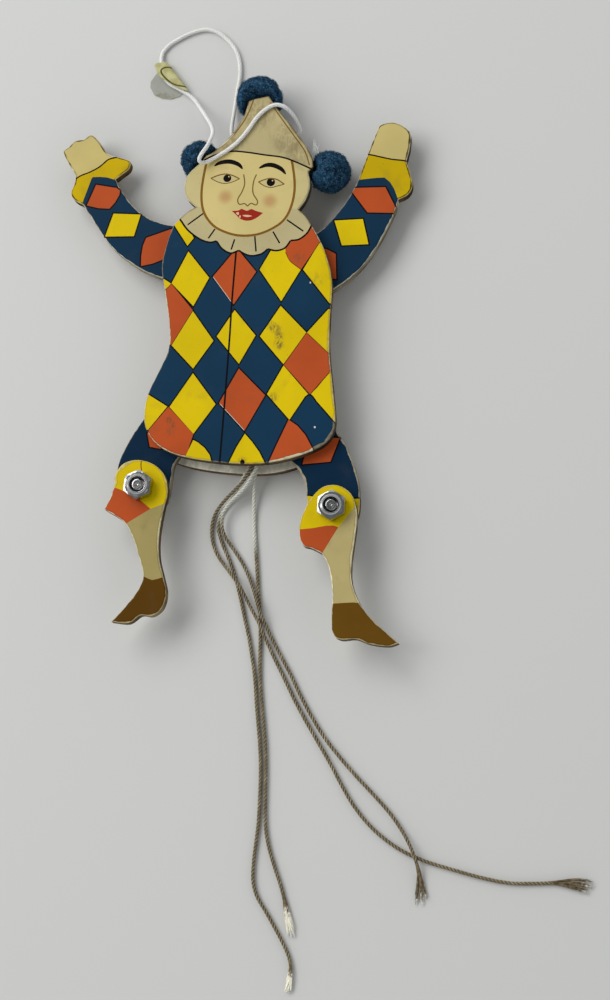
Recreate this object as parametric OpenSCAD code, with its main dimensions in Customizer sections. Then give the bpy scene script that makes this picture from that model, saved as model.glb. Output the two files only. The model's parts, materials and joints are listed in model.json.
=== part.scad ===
// Flat wooden jumping jack: two painted body panels with jointed arms and legs between
// them, drawn by cords, with felt pompoms on the hat and a hanging cord.
// Millimetres. X to the viewer's right, Y up the figure, Z out of the painted face.
// The back of the back panel is z = 0, and the figure lies on it.

/* [Sheet wood] */
// Thickness of every sheet that the figure is sawn from
sheet = 3; // [2.6:0.1:3.2]
// Gap between the two body panels that the limbs swing in
limb_gap = 3.5; // [3.4:0.1:3.6]

/* [Joints] */
// Radius of the four hidden dowels that the limbs turn on
dowel_r = 1.5; // [1.2:0.1:1.8]
// Radial running clearance of each turning limb on its pin
running = 0.07; // [0.02:0.01:0.1]
// Radius of the knee bolts
bolt_r = 1.95; // [1.5:0.05:2]
// Width across the flats of the knee nuts
nut_flats = 7; // [6:0.1:7.2]
// Height of the knee nuts
nut_h = 3.2; // [2.4:0.1:3.4]

/* [Pompoms] */
// Radius of the pompom on the tip of the hat
pompom_top_r = 6.4; // [5:0.1:6.6]
// Radius of the pompom at the right corner of the hat
pompom_right_r = 5.8; // [5:0.1:6.4]
// Radius of the pompom at the left corner of the hat
pompom_left_r = 5.4; // [5:0.1:6]

/* [Cords] */
// Diameter of the twisted pull cords
twine_d = 1; // [0.7:0.1:1]
// Diameter of the white hanging cord
hanging_d = 1.1; // [0.8:0.1:1.2]

/* [Hidden] */

// layers, from the surface that the figure lies on
limb_play = (limb_gap - sheet) / 2;
back_top = sheet;
limb_z = back_top + limb_play;
front_z = back_top + limb_gap;
front_top = front_z + sheet;

// pivots
shoulder_left = [-17.5, 26.5];
shoulder_right = [16, 26];
hip_left = [-14, -16];
hip_right = [15.5, -19.5];
knee_left = [-24.7, -37.5];
knee_right = [26.7, -40.7];
pin_fit = 0.02;
pin_segments = 48;

// Catmull-Rom curves: a run is one smooth stretch, and runs meet at corners
function spline(a, b, c, d, t) =
    0.5 * (2 * b + (c - a) * t + (2 * a - 5 * b + 4 * c - d) * t * t
        + (3 * b - a - 3 * c + d) * t * t * t);
function before(p, i) = i > 0 ? p[i - 1] : 2 * p[0] - p[1];
function after(p, i) = i < len(p) - 2 ? p[i + 2] : 2 * p[i + 1] - p[i];
function run(p, n) = [
    for (i = [0 : len(p) - 2])
        for (k = [0 : n - 1])
            spline(before(p, i), p[i], p[i + 1], after(p, i), k / n)
];
function outline(runs, n = 4) = [for (r = runs) each run(r, n)];

// ---- outlines ----------------------------------------------------------------

body_side = [
    [-20.8, 36.6], [-22.4, 34.2], [-23.8, 28.6], [-24.4, 22.8], [-22.9, 16.1], [-20.8, 6.5],
    [-20.4, 0.5], [-21.9, -4.5], [-24.6, -11.5], [-25.4, -17], [-24.2, -22.4], [-19.3, -27.1],
    [-11, -29.4], [1.8, -30.2], [12, -29], [22.1, -25], [25.6, -19.8], [24.6, -10.5],
    [22.7, 0.5], [22.1, 10], [21.9, 20], [19.2, 28.8], [15.3, 35.5]
];
front_outline = outline([
    body_side,
    [[15.3, 35.5], [13.5, 38], [11.4, 39.9]],
    [[11.4, 39.9], [13.2, 43], [14, 46.8], [13.2, 50.6]],
    [[13.2, 50.6], [14.5, 52]],
    [[14.5, 52], [13.4, 55.8], [8.9, 61.9], [3.6, 68.2], [0.7, 72.1]],
    [[0.7, 72.1], [-2.4, 71.4], [-4.7, 70.6]],
    [[-4.7, 70.6], [-6, 65.4], [-9.2, 60], [-13.2, 55.8], [-15, 54.8]],
    [[-15, 54.8], [-16.7, 52.5], [-19.6, 49.2], [-20.3, 45.5], [-19.2, 42.3], [-16.6, 40]],
    [[-16.6, 40], [-18.5, 38.9], [-20.8, 36.6]]
]);
// the back panel stops under the collar and reaches a little lower than the front one
back_outline = outline([
    [
        [-20.4, 36.2], [-22.2, 33.6], [-23.6, 28.6], [-24.2, 22.8], [-22.7, 16.1], [-20.7, 6.5],
        [-20.3, 0.5], [-21.8, -4.9], [-24.4, -12.1], [-25.1, -17.8], [-23.9, -23.4], [-19, -28.2],
        [-11, -30.5], [1.8, -31.4], [12, -30.2], [21.2, -25.8], [24.2, -20.6], [23.4, -10.5],
        [21.6, 0.5], [21, 10], [20.7, 20], [18.2, 28.6], [14.9, 34.8]
    ],
    [[14.9, 34.8], [6, 38.4], [-3, 39.4], [-12, 38.8], [-20.4, 36.2]]
]);
arm_left_outline = outline([
    [[-18, 35.2], [-23.3, 35.7], [-29.5, 37.4], [-34.6, 40.8], [-38.4, 45.2], [-40.5, 48.7]],
    [[-40.5, 48.7], [-38.8, 50.2], [-37, 51.9], [-37.1, 54.1], [-40.2, 55.1], [-43.4, 56.1],
        [-46.3, 59.7], [-48.6, 61.5], [-50.6, 60.2], [-53.2, 59.6], [-54.6, 57.9], [-56.1, 56.6],
        [-54.8, 53.8], [-51.9, 49.7]],
    [[-51.9, 49.7], [-51.9, 47.5], [-52.7, 44.6], [-51.4, 42.5], [-48.8, 41.2]],
    [[-48.8, 41.2], [-45, 35.8], [-39.6, 29.2], [-32.2, 23.8], [-25, 20.9], [-18.5, 19],
        [-13.5, 18.1], [-10, 18.3], [-8.4, 20.9], [-9.7, 23.8], [-10.8, 27.5], [-12.8, 32.6],
        [-18, 35.2]]
]);
arm_right_outline = outline([
    [[11.9, 33], [16.5, 34.7], [19.6, 37.7], [23.4, 43.2], [26.3, 49.5]],
    [[26.3, 49.5], [27.6, 54.4], [30.2, 63.2], [31.5, 65.6], [35.3, 66.2], [39.2, 63.7],
        [39.6, 59.6], [38.9, 55.2]],
    [[38.9, 55.2], [40.3, 51.6], [41, 48.2], [39.9, 45.8], [37.5, 44.4]],
    [[37.5, 44.4], [36.4, 39.8], [32.6, 31], [27.6, 23.7], [21.3, 18.5], [16.4, 16.3],
        [12.6, 15.5], [9.8, 17.2], [9.5, 20.3], [8.8, 26], [11.9, 33]]
]);
thigh_left_outline = outline([
    [
        [-26.2, -18.3], [-29.3, -23.8], [-31.6, -29.8], [-32.2, -35.4], [-31, -41.4],
        [-26.8, -44.6], [-21.7, -44.2], [-18, -40.6], [-17.3, -35.6], [-16.8, -30.2],
        [-13.8, -25.6], [-9.6, -20.4], [-5.6, -17.5], [-3.5, -14.6], [-5.6, -11.9],
        [-9.8, -9.8], [-15.5, -8.4], [-21.6, -11.4], [-26.2, -18.3]
    ]
]);
thigh_right_outline = outline([
    [
        [25.4, -19.3], [28.7, -24.1], [31.8, -31], [33.1, -37.6], [32.6, -43.2], [28.6, -47.6],
        [23.2, -47], [19.8, -42.8], [19.2, -37.3], [17.4, -31.8], [13.6, -27.4], [10.4, -22.8],
        [6.9, -20.9], [4.9, -18.1], [6.9, -15.4], [10.6, -13.2], [15.6, -11.9], [21.4, -14],
        [25.4, -19.3]
    ]
]);
shin_left_outline = outline([
    [[-33.6, -43.9], [-32.4, -41], [-31.6, -37.6], [-31.6, -34.4], [-29.6, -31.4], [-25.8, -30.3],
        [-21.4, -31.4], [-18.2, -34.4], [-17.1, -38.8], [-17.8, -43.4], [-18.3, -50],
        [-17.8, -56], [-16.2, -61], [-15, -65.2], [-15.7, -69.2], [-18.2, -71.4],
        [-21.2, -71.4], [-24.2, -73.6], [-28.8, -73.5]],
    [[-28.8, -73.5], [-25.2, -69], [-22.4, -64.6], [-21.5, -61], [-23, -56.4], [-25.6, -50.4],
        [-28.2, -46.9], [-33.6, -43.9]]
]);
shin_right_outline = outline([
    [
        [46.2, -75.1], [43.6, -76], [39, -75.7], [35.2, -74.6], [31.4, -75], [29.2, -73.4],
        [28.5, -68.5], [28.4, -63.4], [26.9, -56.4], [24.9, -53]
    ],
    [
        [24.9, -53], [22, -51.7], [19.7, -51], [18.5, -47.8], [18.8, -44], [20.6, -39.2],
        [23.6, -35.6], [27.6, -34.9], [31.2, -37], [33, -41.2], [33.2, -46.4], [32.7, -54.4],
        [33.2, -60.4], [36.2, -66.4], [40.8, -70.9], [46.2, -75.1]
    ]
]);

module sheet_piece(points, z) {
    translate([0, 0, z])
        linear_extrude(sheet)
            polygon(points);
}
module drill(at, r) {
    translate([at[0], at[1], -1])
        cylinder(r = r, h = 30, $fn = pin_segments);
}
module blind(at, r, z0, z1) {
    translate([at[0], at[1], z0])
        cylinder(r = r, h = z1 - z0, $fn = pin_segments);
}

// ---- body --------------------------------------------------------------------

dowel_z0 = 0;
dowel_z1 = front_z + sheet / 2;

module front_panel() {
    color("#1b3550")
        difference() {
            sheet_piece(front_outline, front_z);
            for (at = [shoulder_left, shoulder_right, hip_left, hip_right])
                blind(at, dowel_r, front_z - 1, dowel_z1);
        }
}
module back_panel() {
    color("#8a8175")
        difference() {
            sheet_piece(back_outline, 0);
            for (at = [shoulder_left, shoulder_right, hip_left, hip_right])
                drill(at, dowel_r);
        }
}
// glued blocks that hold the two panels apart
module spacer_block(x0, y0, w, h) {
    color("#b59a6a")
        translate([x0, y0, back_top])
            cube([w, h, limb_gap]);
}
module neck_spacer() {
    spacer_block(-5, 35.8, 8.4, 2.8);
}
module waist_spacer_left() {
    spacer_block(-19, -3.5, 2.6, 6);
}
module waist_spacer_right() {
    spacer_block(18.2, -4, 2.6, 6);
}
module dowel(at) {
    color("#c8a66b")
        translate([at[0], at[1], dowel_z0])
            cylinder(r = dowel_r, h = dowel_z1 - dowel_z0, $fn = pin_segments);
}
module shoulder_dowel_left() {
    dowel(shoulder_left);
}
module shoulder_dowel_right() {
    dowel(shoulder_right);
}
module hip_dowel_left() {
    dowel(hip_left);
}
module hip_dowel_right() {
    dowel(hip_right);
}

// ---- limbs -------------------------------------------------------------------

// the small hole in each lever end that its cord is tied through
cord_hole_r = 0.8;
lever_arm_left = [-11.2, 20.9];
lever_arm_right = [12.1, 18.5];
lever_leg_left = [-6.3, -14.7];
lever_leg_right = [7.6, -18.1];

module arm(points, pivot, lever) {
    color("#1b3550")
        difference() {
            sheet_piece(points, limb_z);
            drill(pivot, dowel_r + running);
            drill(lever, cord_hole_r);
        }
}
module arm_left() {
    arm(arm_left_outline, shoulder_left, lever_arm_left);
}
module arm_right() {
    arm(arm_right_outline, shoulder_right, lever_arm_right);
}
module thigh(points, pivot, lever, knee) {
    color("#14263c")
        difference() {
            sheet_piece(points, limb_z);
            drill(pivot, dowel_r + running);
            drill(lever, cord_hole_r);
            drill(knee, bolt_r - pin_fit);
        }
}
module thigh_left() {
    thigh(thigh_left_outline, hip_left, lever_leg_left, knee_left);
}
module thigh_right() {
    thigh(thigh_right_outline, hip_right, lever_leg_right, knee_right);
}
module shin(points, knee) {
    color("#b8a878")
        difference() {
            sheet_piece(points, front_z);
            drill(knee, bolt_r + running);
        }
}
module shin_left() {
    shin(shin_left_outline, knee_left);
}
module shin_right() {
    shin(shin_right_outline, knee_right);
}

// ---- knee bolts and nuts -----------------------------------------------------

bolt_head_r = 3.8;
bolt_head_h = limb_z - 0.75;
bolt_tip = front_top + 0.1 + nut_h - 0.25;
nut_z = front_top + 0.1;

module knee_bolt(at) {
    color("silver")
        translate([at[0], at[1], limb_z - bolt_head_h])
            difference() {
                rotate_extrude($fn = pin_segments)
                    polygon([
                        [0, 0], [bolt_head_r - 0.9, 0], [bolt_head_r, 0.9],
                        [bolt_head_r, bolt_head_h], [bolt_r, bolt_head_h],
                        [bolt_r, bolt_tip - limb_z + bolt_head_h - 0.4],
                        [bolt_r - 0.4, bolt_tip - limb_z + bolt_head_h],
                        [0, bolt_tip - limb_z + bolt_head_h]
                    ]);
                // cross slot
                for (a = [0, 90])
                    rotate(a)
                        translate([-2, -0.4, -1])
                            cube([4, 0.8, 2.1]);
            }
}
module knee_bolt_left() {
    knee_bolt(knee_left);
}
module knee_bolt_right() {
    knee_bolt(knee_right);
}
module knee_nut(at, turn) {
    corner_r = nut_flats / sqrt(3);
    color("silver")
        translate([at[0], at[1], nut_z])
            difference() {
                intersection() {
                    rotate(turn)
                        cylinder(r = corner_r, h = nut_h, $fn = 6);
                    rotate_extrude($fn = pin_segments)
                        polygon([
                            [0, 0], [corner_r - 0.45, 0], [corner_r + 0.1, 0.35],
                            [corner_r + 0.1, nut_h - 0.35], [corner_r - 0.45, nut_h], [0, nut_h]
                        ]);
                }
                translate([0, 0, -1])
                    cylinder(r = bolt_r - pin_fit, h = nut_h + 2, $fn = pin_segments);
            }
}
module knee_nut_left() {
    knee_nut(knee_left, 27);
}
module knee_nut_right() {
    knee_nut(knee_right, 31);
}

// ---- cords -------------------------------------------------------------------

// one ring of a cord: a regular octagon square to the route
function unit(v) = v / norm(v);
function ring_at(p, t, r) =
    let (side = unit(cross(t, [0, 0, 1])), up = cross(side, t))
    [for (a = [22.5 : 45 : 359]) p + r * (cos(a) * side + sin(a) * up)];
function dense(route, n) = concat(run(route, n), [route[len(route) - 1]]);
function tangent(p, i) = unit(p[min(i + 1, len(p) - 1)] - p[max(i - 1, 0)]);

module cord(route, d, n) {
    p = dense(route, n);
    last = len(p) - 1;
    rings = [for (i = [0 : last]) each ring_at(p[i], tangent(p, i), d / 2)];
    sides = [
        for (i = [0 : last - 1])
            for (k = [0 : 7])
                let (a = i * 8 + k, b = i * 8 + (k + 1) % 8)
                each [[a, b, a + 8], [b, b + 8, a + 8]]
    ];
    ends = [[for (k = [7 : -1 : 0]) k], [for (k = [0 : 7]) last * 8 + k]];
    polyhedron(points = rings, faces = concat(sides, ends));
}

// Routes. The pull cords come out between the panels, drop to the surface that the
// figure lies on and wander over it; where one passes over another it makes a low hump.
route_arm_left = [
    [2.6, -25, 4.95], [3.8, -29.4, 4.95], [2.6, -32.1, 4.6], [1.1, -34.3, 4], [-0.9, -36.3, 3.2],
    [-2.9, -38.2, 2.2], [-4.7, -40.3, 1.3], [-5.9, -42.6, 0.8], [-6.4, -45.2, 0.55],
    [-6.2, -48, 0.55], [-5.4, -50.8, 0.55], [-4, -53.4, 0.55], [-2.3, -55.5, 1],
    [-0.6, -57.4, 1.6], [1.2, -59.4, 1.95], [2.9, -61.7, 1.8], [4.6, -64.5, 1.2],
    [6.4, -67.4, 1.4], [8.2, -70.1, 1.9], [9.6, -72.8, 1.7], [11.1, -75.8, 0.9],
    [13.2, -79.6, 0.55], [16.2, -84.7, 0.55], [19.2, -89.9, 0.55], [22.4, -94.9, 0.55],
    [26, -100.2, 0.55], [29.3, -105, 0.55], [32.6, -110.2, 0.55], [36, -115.2, 0.55],
    [40.2, -119.9, 0.55], [45, -123.7, 0.55], [50.2, -126.6, 0.55], [56, -128.6, 0.55],
    [63, -130.2, 0.55], [70, -131.6, 0.55], [77, -132.4, 0.55], [84, -132, 0.55],
    [90.5, -131.4, 0.55], [97, -131.8, 0.55]
];
route_arm_right = [
    [3.9, -25, 4.95], [5.1, -29.4, 4.95], [3.9, -32.5, 4.8], [2.3, -35.1, 4],
    [0.2, -37.3, 3.2], [-1.8, -39.3, 2.6], [-3.2, -41.5, 2.1], [-3.6, -44, 1.9],
    [-3.3, -46.3, 1.8], [-2.4, -48.3, 1.3], [-1, -50.2, 0.8], [0.6, -52.2, 0.55],
    [2.6, -54.9, 0.55], [4.5, -58.2, 0.7], [6, -61.3, 1], [7.1, -64.1, 1.6],
    [8.1, -66.8, 1.95], [9.3, -69.4, 1.6], [10.9, -72.3, 0.8], [12.7, -75.5, 0.55],
    [15.1, -79.4, 0.55], [17.8, -83.7, 0.55], [20.6, -88.6, 0.55], [23.9, -93.8, 0.55],
    [27.5, -98.8, 0.55], [31.6, -103.4, 0.55], [36.4, -108.2, 0.55], [41.4, -112.8, 0.55],
    [45.9, -117.2, 0.55], [49, -121, 0.7], [51.2, -124.3, 1.3], [53, -127.7, 1.9],
    [54.2, -131, 1.2], [55, -135, 0.55], [55.6, -139.2, 0.55]
];
route_leg_left = [
    [1.2, -25, 3.7], [2.9, -29.3, 3.7], [1.8, -31.8, 3.65], [0.7, -33.9, 2.7],
    [-0.6, -36.2, 1.7], [-1.8, -38.2, 1], [-3.2, -40.2, 0.6], [-4.4, -42.6, 0.55],
    [-4.8, -45.3, 0.55], [-4, -48.1, 0.55], [-2.7, -51, 0.55], [-1.1, -54, 0.55],
    [0.4, -57.2, 0.55], [1.7, -60.6, 0.55], [3.1, -65, 0.55], [4.6, -70, 0.55],
    [6, -74.6, 0.55], [7.2, -79.4, 0.55], [8.4, -84.9, 0.55], [9.2, -90.3, 0.55],
    [10.1, -95.8, 0.55], [11, -101.2, 0.55], [11.7, -106.6, 0.55], [12.1, -112, 0.55],
    [12.3, -117.4, 0.55], [12.4, -122, 0.55], [12.2, -127, 0.55], [12, -132, 0.55],
    [12.3, -136.6, 0.55], [13.6, -140.2, 0.55], [16, -143.6, 0.55], [18.5, -147.2, 0.55],
    [21, -151, 0.55], [23.1, -155, 0.55], [23.8, -158.8, 0.55], [23.2, -163, 0.55]
];
route_leg_right = [
    [4.6, -25, 3.7], [4.7, -29.3, 3.7], [4.6, -31.9, 3.65], [4.4, -34.4, 2.8],
    [4.4, -37, 1.8], [4.5, -40, 1], [4.8, -43.5, 0.6], [5.2, -47.2, 0.55],
    [5.8, -51, 0.55], [6.4, -55, 0.55], [6.9, -58.6, 0.55], [7.4, -62, 0.55],
    [8, -65.4, 0.55], [8.5, -68.8, 0.55], [8.8, -72.4, 0.55], [9.1, -76.4, 0.55],
    [9.4, -81, 0.55], [9.9, -86, 0.55], [10.7, -91, 0.55], [11.6, -96.2, 0.55],
    [12.5, -101.6, 0.55], [13.1, -107, 0.55], [13.5, -112.4, 0.55], [13.8, -117.6, 0.55],
    [14.3, -122.4, 0.55], [15.5, -127.4, 0.55], [17.5, -132.6, 0.55], [19.4, -137, 0.55],
    [20.9, -141, 0.55], [22.2, -145.4, 0.55], [23.2, -149.6, 0.55]
];
// The hanging cord is a loop: both ends are knotted behind the hat. One side rises in a
// loop on the surface through the tag, and comes back over the face of the hat.
route_hanging = [
    [-1.8, 60.4, 4.6], [-4.6, 60.6, 4.9], [-7.6, 60.8, 4.9], [-9.5, 62.2, 4.5],
    [-10.1, 65.3, 3.4], [-10.2, 69.4, 2], [-10.2, 73.6, 0.9], [-10, 77.8, 0.6],
    [-9.7, 81.8, 0.6], [-10.2, 85.8, 0.6], [-11.6, 89.2, 0.6], [-14, 92.1, 0.6],
    [-17, 94.4, 0.6], [-20.4, 95.3, 0.6], [-24, 94.5, 0.6], [-27.4, 92.8, 0.6],
    [-30.2, 90.9, 0.6], [-31.9, 88.9, 0.6], [-32.4, 87.1, 0.75], [-32.2, 85.4, 0.95],
    [-31.8, 83.3, 1], [-31.2, 81.4, 1], [-30.3, 79.9, 1], [-28.8, 78.6, 1],
    [-26.9, 77.6, 1], [-25.3, 76.7, 1], [-23.5, 75.6, 1.1], [-21.5, 73.8, 1.4],
    [-19.6, 71.2, 2.3], [-17.3, 67.9, 4], [-15.3, 64.8, 6.2], [-14.1, 61.9, 8.4],
    [-14, 59, 10.4], [-14.6, 56.2, 11.9], [-15.5, 54, 12.8], [-16.2, 52.4, 12.4],
    [-15.7, 51.9, 11.5], [-14.2, 52.6, 10.5], [-11.6, 54.4, 10.1], [-8.8, 56.4, 10.1],
    [-6.3, 58.8, 10.1], [-4, 62, 10.1], [-2, 65.4, 10.1], [0.2, 67.8, 10.15],
    [2.7, 69.2, 10.2], [5.2, 69, 9.5], [7.1, 67.7, 7.9], [8.6, 65.6, 6.1],
    [9.2, 63.4, 5], [7.4, 61.4, 4.6], [5, 60.6, 4.6], [2.6, 60.4, 4.6]
];

module pull_cord_arm_left() {
    color("#5c5648")
        cord(route_arm_left, twine_d, 2);
}
module pull_cord_arm_right() {
    color("#5c5648")
        cord(route_arm_right, twine_d, 2);
}
module pull_cord_leg_left() {
    color("#6d6656")
        cord(route_leg_left, twine_d, 2);
}
module pull_cord_leg_right() {
    color("#6d6656")
        cord(route_leg_right, twine_d, 2);
}
module hanging_cord() {
    color("#f2efe6")
        cord(route_hanging, hanging_d, 1);
}
module hanging_knot() {
    color("#f2efe6")
        translate([0.4, 60.4, 4.5])
            difference() {
                sphere(r = 2.4, $fn = 32);
                translate([-5, -5, front_z - 4.5])
                    cube([10, 10, 5]);
            }
}

// The draw cords are the stretches inside, between the lever ends and the way out.
module rod(from, to) {
    v = to - from;
    translate(from)
        rotate([0, acos(v[2] / norm(v)), atan2(v[1], v[0])])
            cylinder(d = twine_d, h = norm(v), $fn = 24);
}
module tee(left, right, foot, z) {
    middle = [foot[0], left[1]];
    rod([left[0], left[1], z], [right[0], right[1], z]);
    rod([middle[0], middle[1], z], [foot[0], foot[1], z]);
}
module arm_draw_cord() {
    color("#6d6656")
        tee([-5, 20.5], [3.4, 20.5], [0.2, -22], 5.3);
}
module leg_draw_cord() {
    color("#6d6656")
        tee([-2.2, -15.5], [3.2, -15.5], [2, -19.4], 3.9);
}

// ---- tag on the hanging cord -------------------------------------------------

// An oval foil sticker folded round the cord: one half lies flat, and the other comes back
// over the cord. In its own frame X runs along the fold and Y away from it.
tag_at = [-24.3, 77.75];
tag_turn = 129.4;
tag_t = 0.2;
tag_fold_r = 1;
tag_lower = outline([
    [[0.2, tag_fold_r], [9.4, tag_fold_r]],
    [
        [9.4, tag_fold_r], [9.3, 4.4], [8.4, 6.9], [7, 8], [4.5, 8.35], [2.1, 7.1],
        [0.5, 5.3], [-0.4, 2.9], [0.2, tag_fold_r]
    ]
]);
tag_upper = outline([
    [[-1.1, 0.6], [-0.8, -0.2]],
    [[-0.8, -0.2], [9.2, -0.2]],
    [[9.2, -0.2], [10.2, 1.3], [11, 2.6]],
    [[11, 2.6], [10.9, 3.5]],
    [[10.9, 3.5], [8.3, 4.2], [6.3, 4], [4.4, 3.3], [2, 2.5], [-1.1, 0.6]]
]);
function fold_arc(r, from, to) =
    let (step = sign(to - from) * 22.5)
    [for (a = [from : step : to]) [tag_fold_r + r * cos(a), tag_fold_r + r * sin(a)]];
tag_reach = 6;
tag_section = concat(
    [[tag_reach, 2 * tag_fold_r - tag_t], [tag_reach, 2 * tag_fold_r]],
    fold_arc(tag_fold_r, 90, 270),
    [[tag_fold_r + 0.4, 0], [tag_fold_r + 0.4, tag_t]],
    fold_arc(tag_fold_r - tag_t, 270, 90)
);

module cord_tag() {
    color("#b3a456")
        translate([tag_at[0], tag_at[1], 0])
            rotate(tag_turn)
                union() {
                    linear_extrude(tag_t)
                        polygon(tag_lower);
                    intersection() {
                        translate([-3, 0, 0])
                            rotate([90, 0, 90])
                                linear_extrude(16)
                                    polygon(tag_section);
                        linear_extrude(2 * tag_fold_r)
                            polygon(tag_upper);
                    }
                }
}

// ---- pompoms -----------------------------------------------------------------

// A felt ball that is pressed under and round the edge of the hat. The edge that it
// clears is a few straight cuts just outside the hat's own outline. away is the direction
// from the hat to the ball, and the ball's poles are turned that way, clear of the cuts.
pole_tilt = 35;
module pompom(at, r, away, hat_edge) {
    color("#14304f")
        difference() {
            translate([at[0], at[1], r])
                rotate([0, pole_tilt, away])
                    sphere(r = r, $fn = 48);
            translate([0, 0, front_z])
                linear_extrude(10)
                    polygon(hat_edge);
        }
}
module pompom_top() {
    pompom([-2.4, 72.4], pompom_top_r, 90, [
        [-9, 58], [-6.3, 64.6], [-4.9, 70.8], [0.8, 72.4], [4.2, 67.6], [9, 58]
    ]);
}
module pompom_right() {
    pompom([18.4, 52], pompom_right_r, 0, [
        [13.6, 57.8], [14.7, 52], [14.2, 44], [8, 44], [8, 57.8]
    ]);
}
module pompom_left() {
    pompom([-17.5, 54.8], pompom_left_r, 165, [
        [-9, 60.8], [-15.3, 55.2], [-20.8, 48.2], [-10, 44], [-6, 54]
    ]);
}

// ---- nodes -------------------------------------------------------------------

front_panel();
back_panel();
neck_spacer();
waist_spacer_left();
waist_spacer_right();
arm_left();
arm_right();
thigh_left();
thigh_right();
shin_left();
shin_right();
shoulder_dowel_left();
shoulder_dowel_right();
hip_dowel_left();
hip_dowel_right();
knee_bolt_left();
knee_bolt_right();
knee_nut_left();
knee_nut_right();
arm_draw_cord();
leg_draw_cord();
pull_cord_arm_left();
pull_cord_arm_right();
pull_cord_leg_left();
pull_cord_leg_right();
hanging_cord();
hanging_knot();
cord_tag();
pompom_top();
pompom_right();
pompom_left();
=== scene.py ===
"""The looks of a painted wooden jumping jack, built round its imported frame.

Row frame: X to the viewer's right, Y up the figure, Z out of the painted face. Lengths below are
in millimetres and are turned into metres where meshes are made.
"""

import json
import math
import random

import bmesh
import bpy
import numpy as np
from mathutils import Matrix, Vector, geometry
from mathutils import noise as fractal

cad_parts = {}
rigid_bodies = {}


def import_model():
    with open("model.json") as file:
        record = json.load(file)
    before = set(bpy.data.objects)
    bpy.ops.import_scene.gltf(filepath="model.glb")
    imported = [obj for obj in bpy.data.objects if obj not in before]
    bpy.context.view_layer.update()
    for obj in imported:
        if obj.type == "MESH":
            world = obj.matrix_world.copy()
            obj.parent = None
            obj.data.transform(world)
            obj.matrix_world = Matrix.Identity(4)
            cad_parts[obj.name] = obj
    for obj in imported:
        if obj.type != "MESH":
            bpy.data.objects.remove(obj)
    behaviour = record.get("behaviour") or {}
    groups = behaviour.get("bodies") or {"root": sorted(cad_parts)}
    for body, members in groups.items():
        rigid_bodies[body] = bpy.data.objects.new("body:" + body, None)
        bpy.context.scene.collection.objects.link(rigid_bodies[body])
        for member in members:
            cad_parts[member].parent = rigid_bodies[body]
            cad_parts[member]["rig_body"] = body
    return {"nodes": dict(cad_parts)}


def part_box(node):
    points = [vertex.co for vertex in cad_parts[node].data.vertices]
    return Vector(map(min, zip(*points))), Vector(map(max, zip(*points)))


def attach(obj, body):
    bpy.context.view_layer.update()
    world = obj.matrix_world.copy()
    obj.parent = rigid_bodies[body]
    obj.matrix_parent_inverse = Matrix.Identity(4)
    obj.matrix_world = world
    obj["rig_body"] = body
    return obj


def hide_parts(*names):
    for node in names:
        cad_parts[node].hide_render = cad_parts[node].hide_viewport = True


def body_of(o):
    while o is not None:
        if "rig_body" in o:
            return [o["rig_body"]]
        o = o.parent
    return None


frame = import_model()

MM = 0.001
WELD = 1e-6  # points closer than this, in metres, are one point
TURN = 2 * math.pi
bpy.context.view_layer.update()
NODES = frame["nodes"]
BODY = "body"


def placed(name, data):
    made = bpy.data.objects.new(name, data)
    bpy.context.collection.objects.link(made)
    return made


# ---- camera ------------------------------------------------------------------

# high above the figure, a little below it and to its right
CAMERA_AT = Vector((114.3, -156.6, 548.8)) * MM
CAMERA_AIM = Vector((19.4, -39.2, 9.5)) * MM
CAMERA_ROLL = math.radians(4.5)
LENS, SENSOR = 78.12, 36


def make_camera():
    back = (CAMERA_AT - CAMERA_AIM).normalized()
    up = Vector((-math.sin(CAMERA_ROLL), math.cos(CAMERA_ROLL), 0))
    up = (up - back * up.dot(back)).normalized()
    data = bpy.data.cameras.new("camera")
    data.sensor_width, data.lens, data.clip_start = SENSOR, LENS, 0.01
    camera = placed("camera", data)
    turned_to = Matrix((up.cross(back), up, back)).transposed().to_4x4()
    camera.matrix_world = Matrix.Translation(CAMERA_AT) @ turned_to
    bpy.context.scene.camera = camera


make_camera()

# ---- curves and meshes -------------------------------------------------------


def unit(v):
    return v / np.linalg.norm(v, axis=-1, keepdims=True)


def through(points, steps):
    """A smooth line through points: the same Catmull-Rom curve as in the part."""
    p = [np.array(q, float) for q in points]
    p = [2 * p[0] - p[1], *p, 2 * p[-1] - p[-2]]
    line = []
    for a, b, c, d in zip(p, p[1:], p[2:], p[3:]):
        square, cube = 2 * a - 5 * b + 4 * c - d, 3 * b - a - 3 * c + d
        for t in (k / steps for k in range(steps)):
            line.append(0.5 * (2 * b + (c - a) * t + square * t * t + cube * t**3))
    return np.array([*line, p[-2]])


def distance_along(line):
    return np.concatenate([[0], np.cumsum(np.linalg.norm(np.diff(line, axis=0), axis=1))])


def point_at(line, along, at):
    """The points of a line at these distances along it."""
    return np.stack([np.interp(at, along, line[:, k]) for k in range(line.shape[1])], axis=-1)


def spaced(line, step):
    """The line again, with its points about step apart."""
    along = distance_along(line)
    count = max(2, math.ceil(along[-1] / step) + 1)
    return point_at(line, along, np.linspace(0, along[-1], count))


def carried_frames(line):
    """At each point of a line two directions square to it, carried along with no twist."""
    ahead = unit(np.gradient(line, axis=0))
    side = np.cross(ahead[0], (0.1, 0.2, 1.0))
    sides = []
    for t in ahead:
        side = unit(side - t * side.dot(t))
        sides.append(side)
    return np.array(sides), np.cross(ahead, sides)


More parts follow.
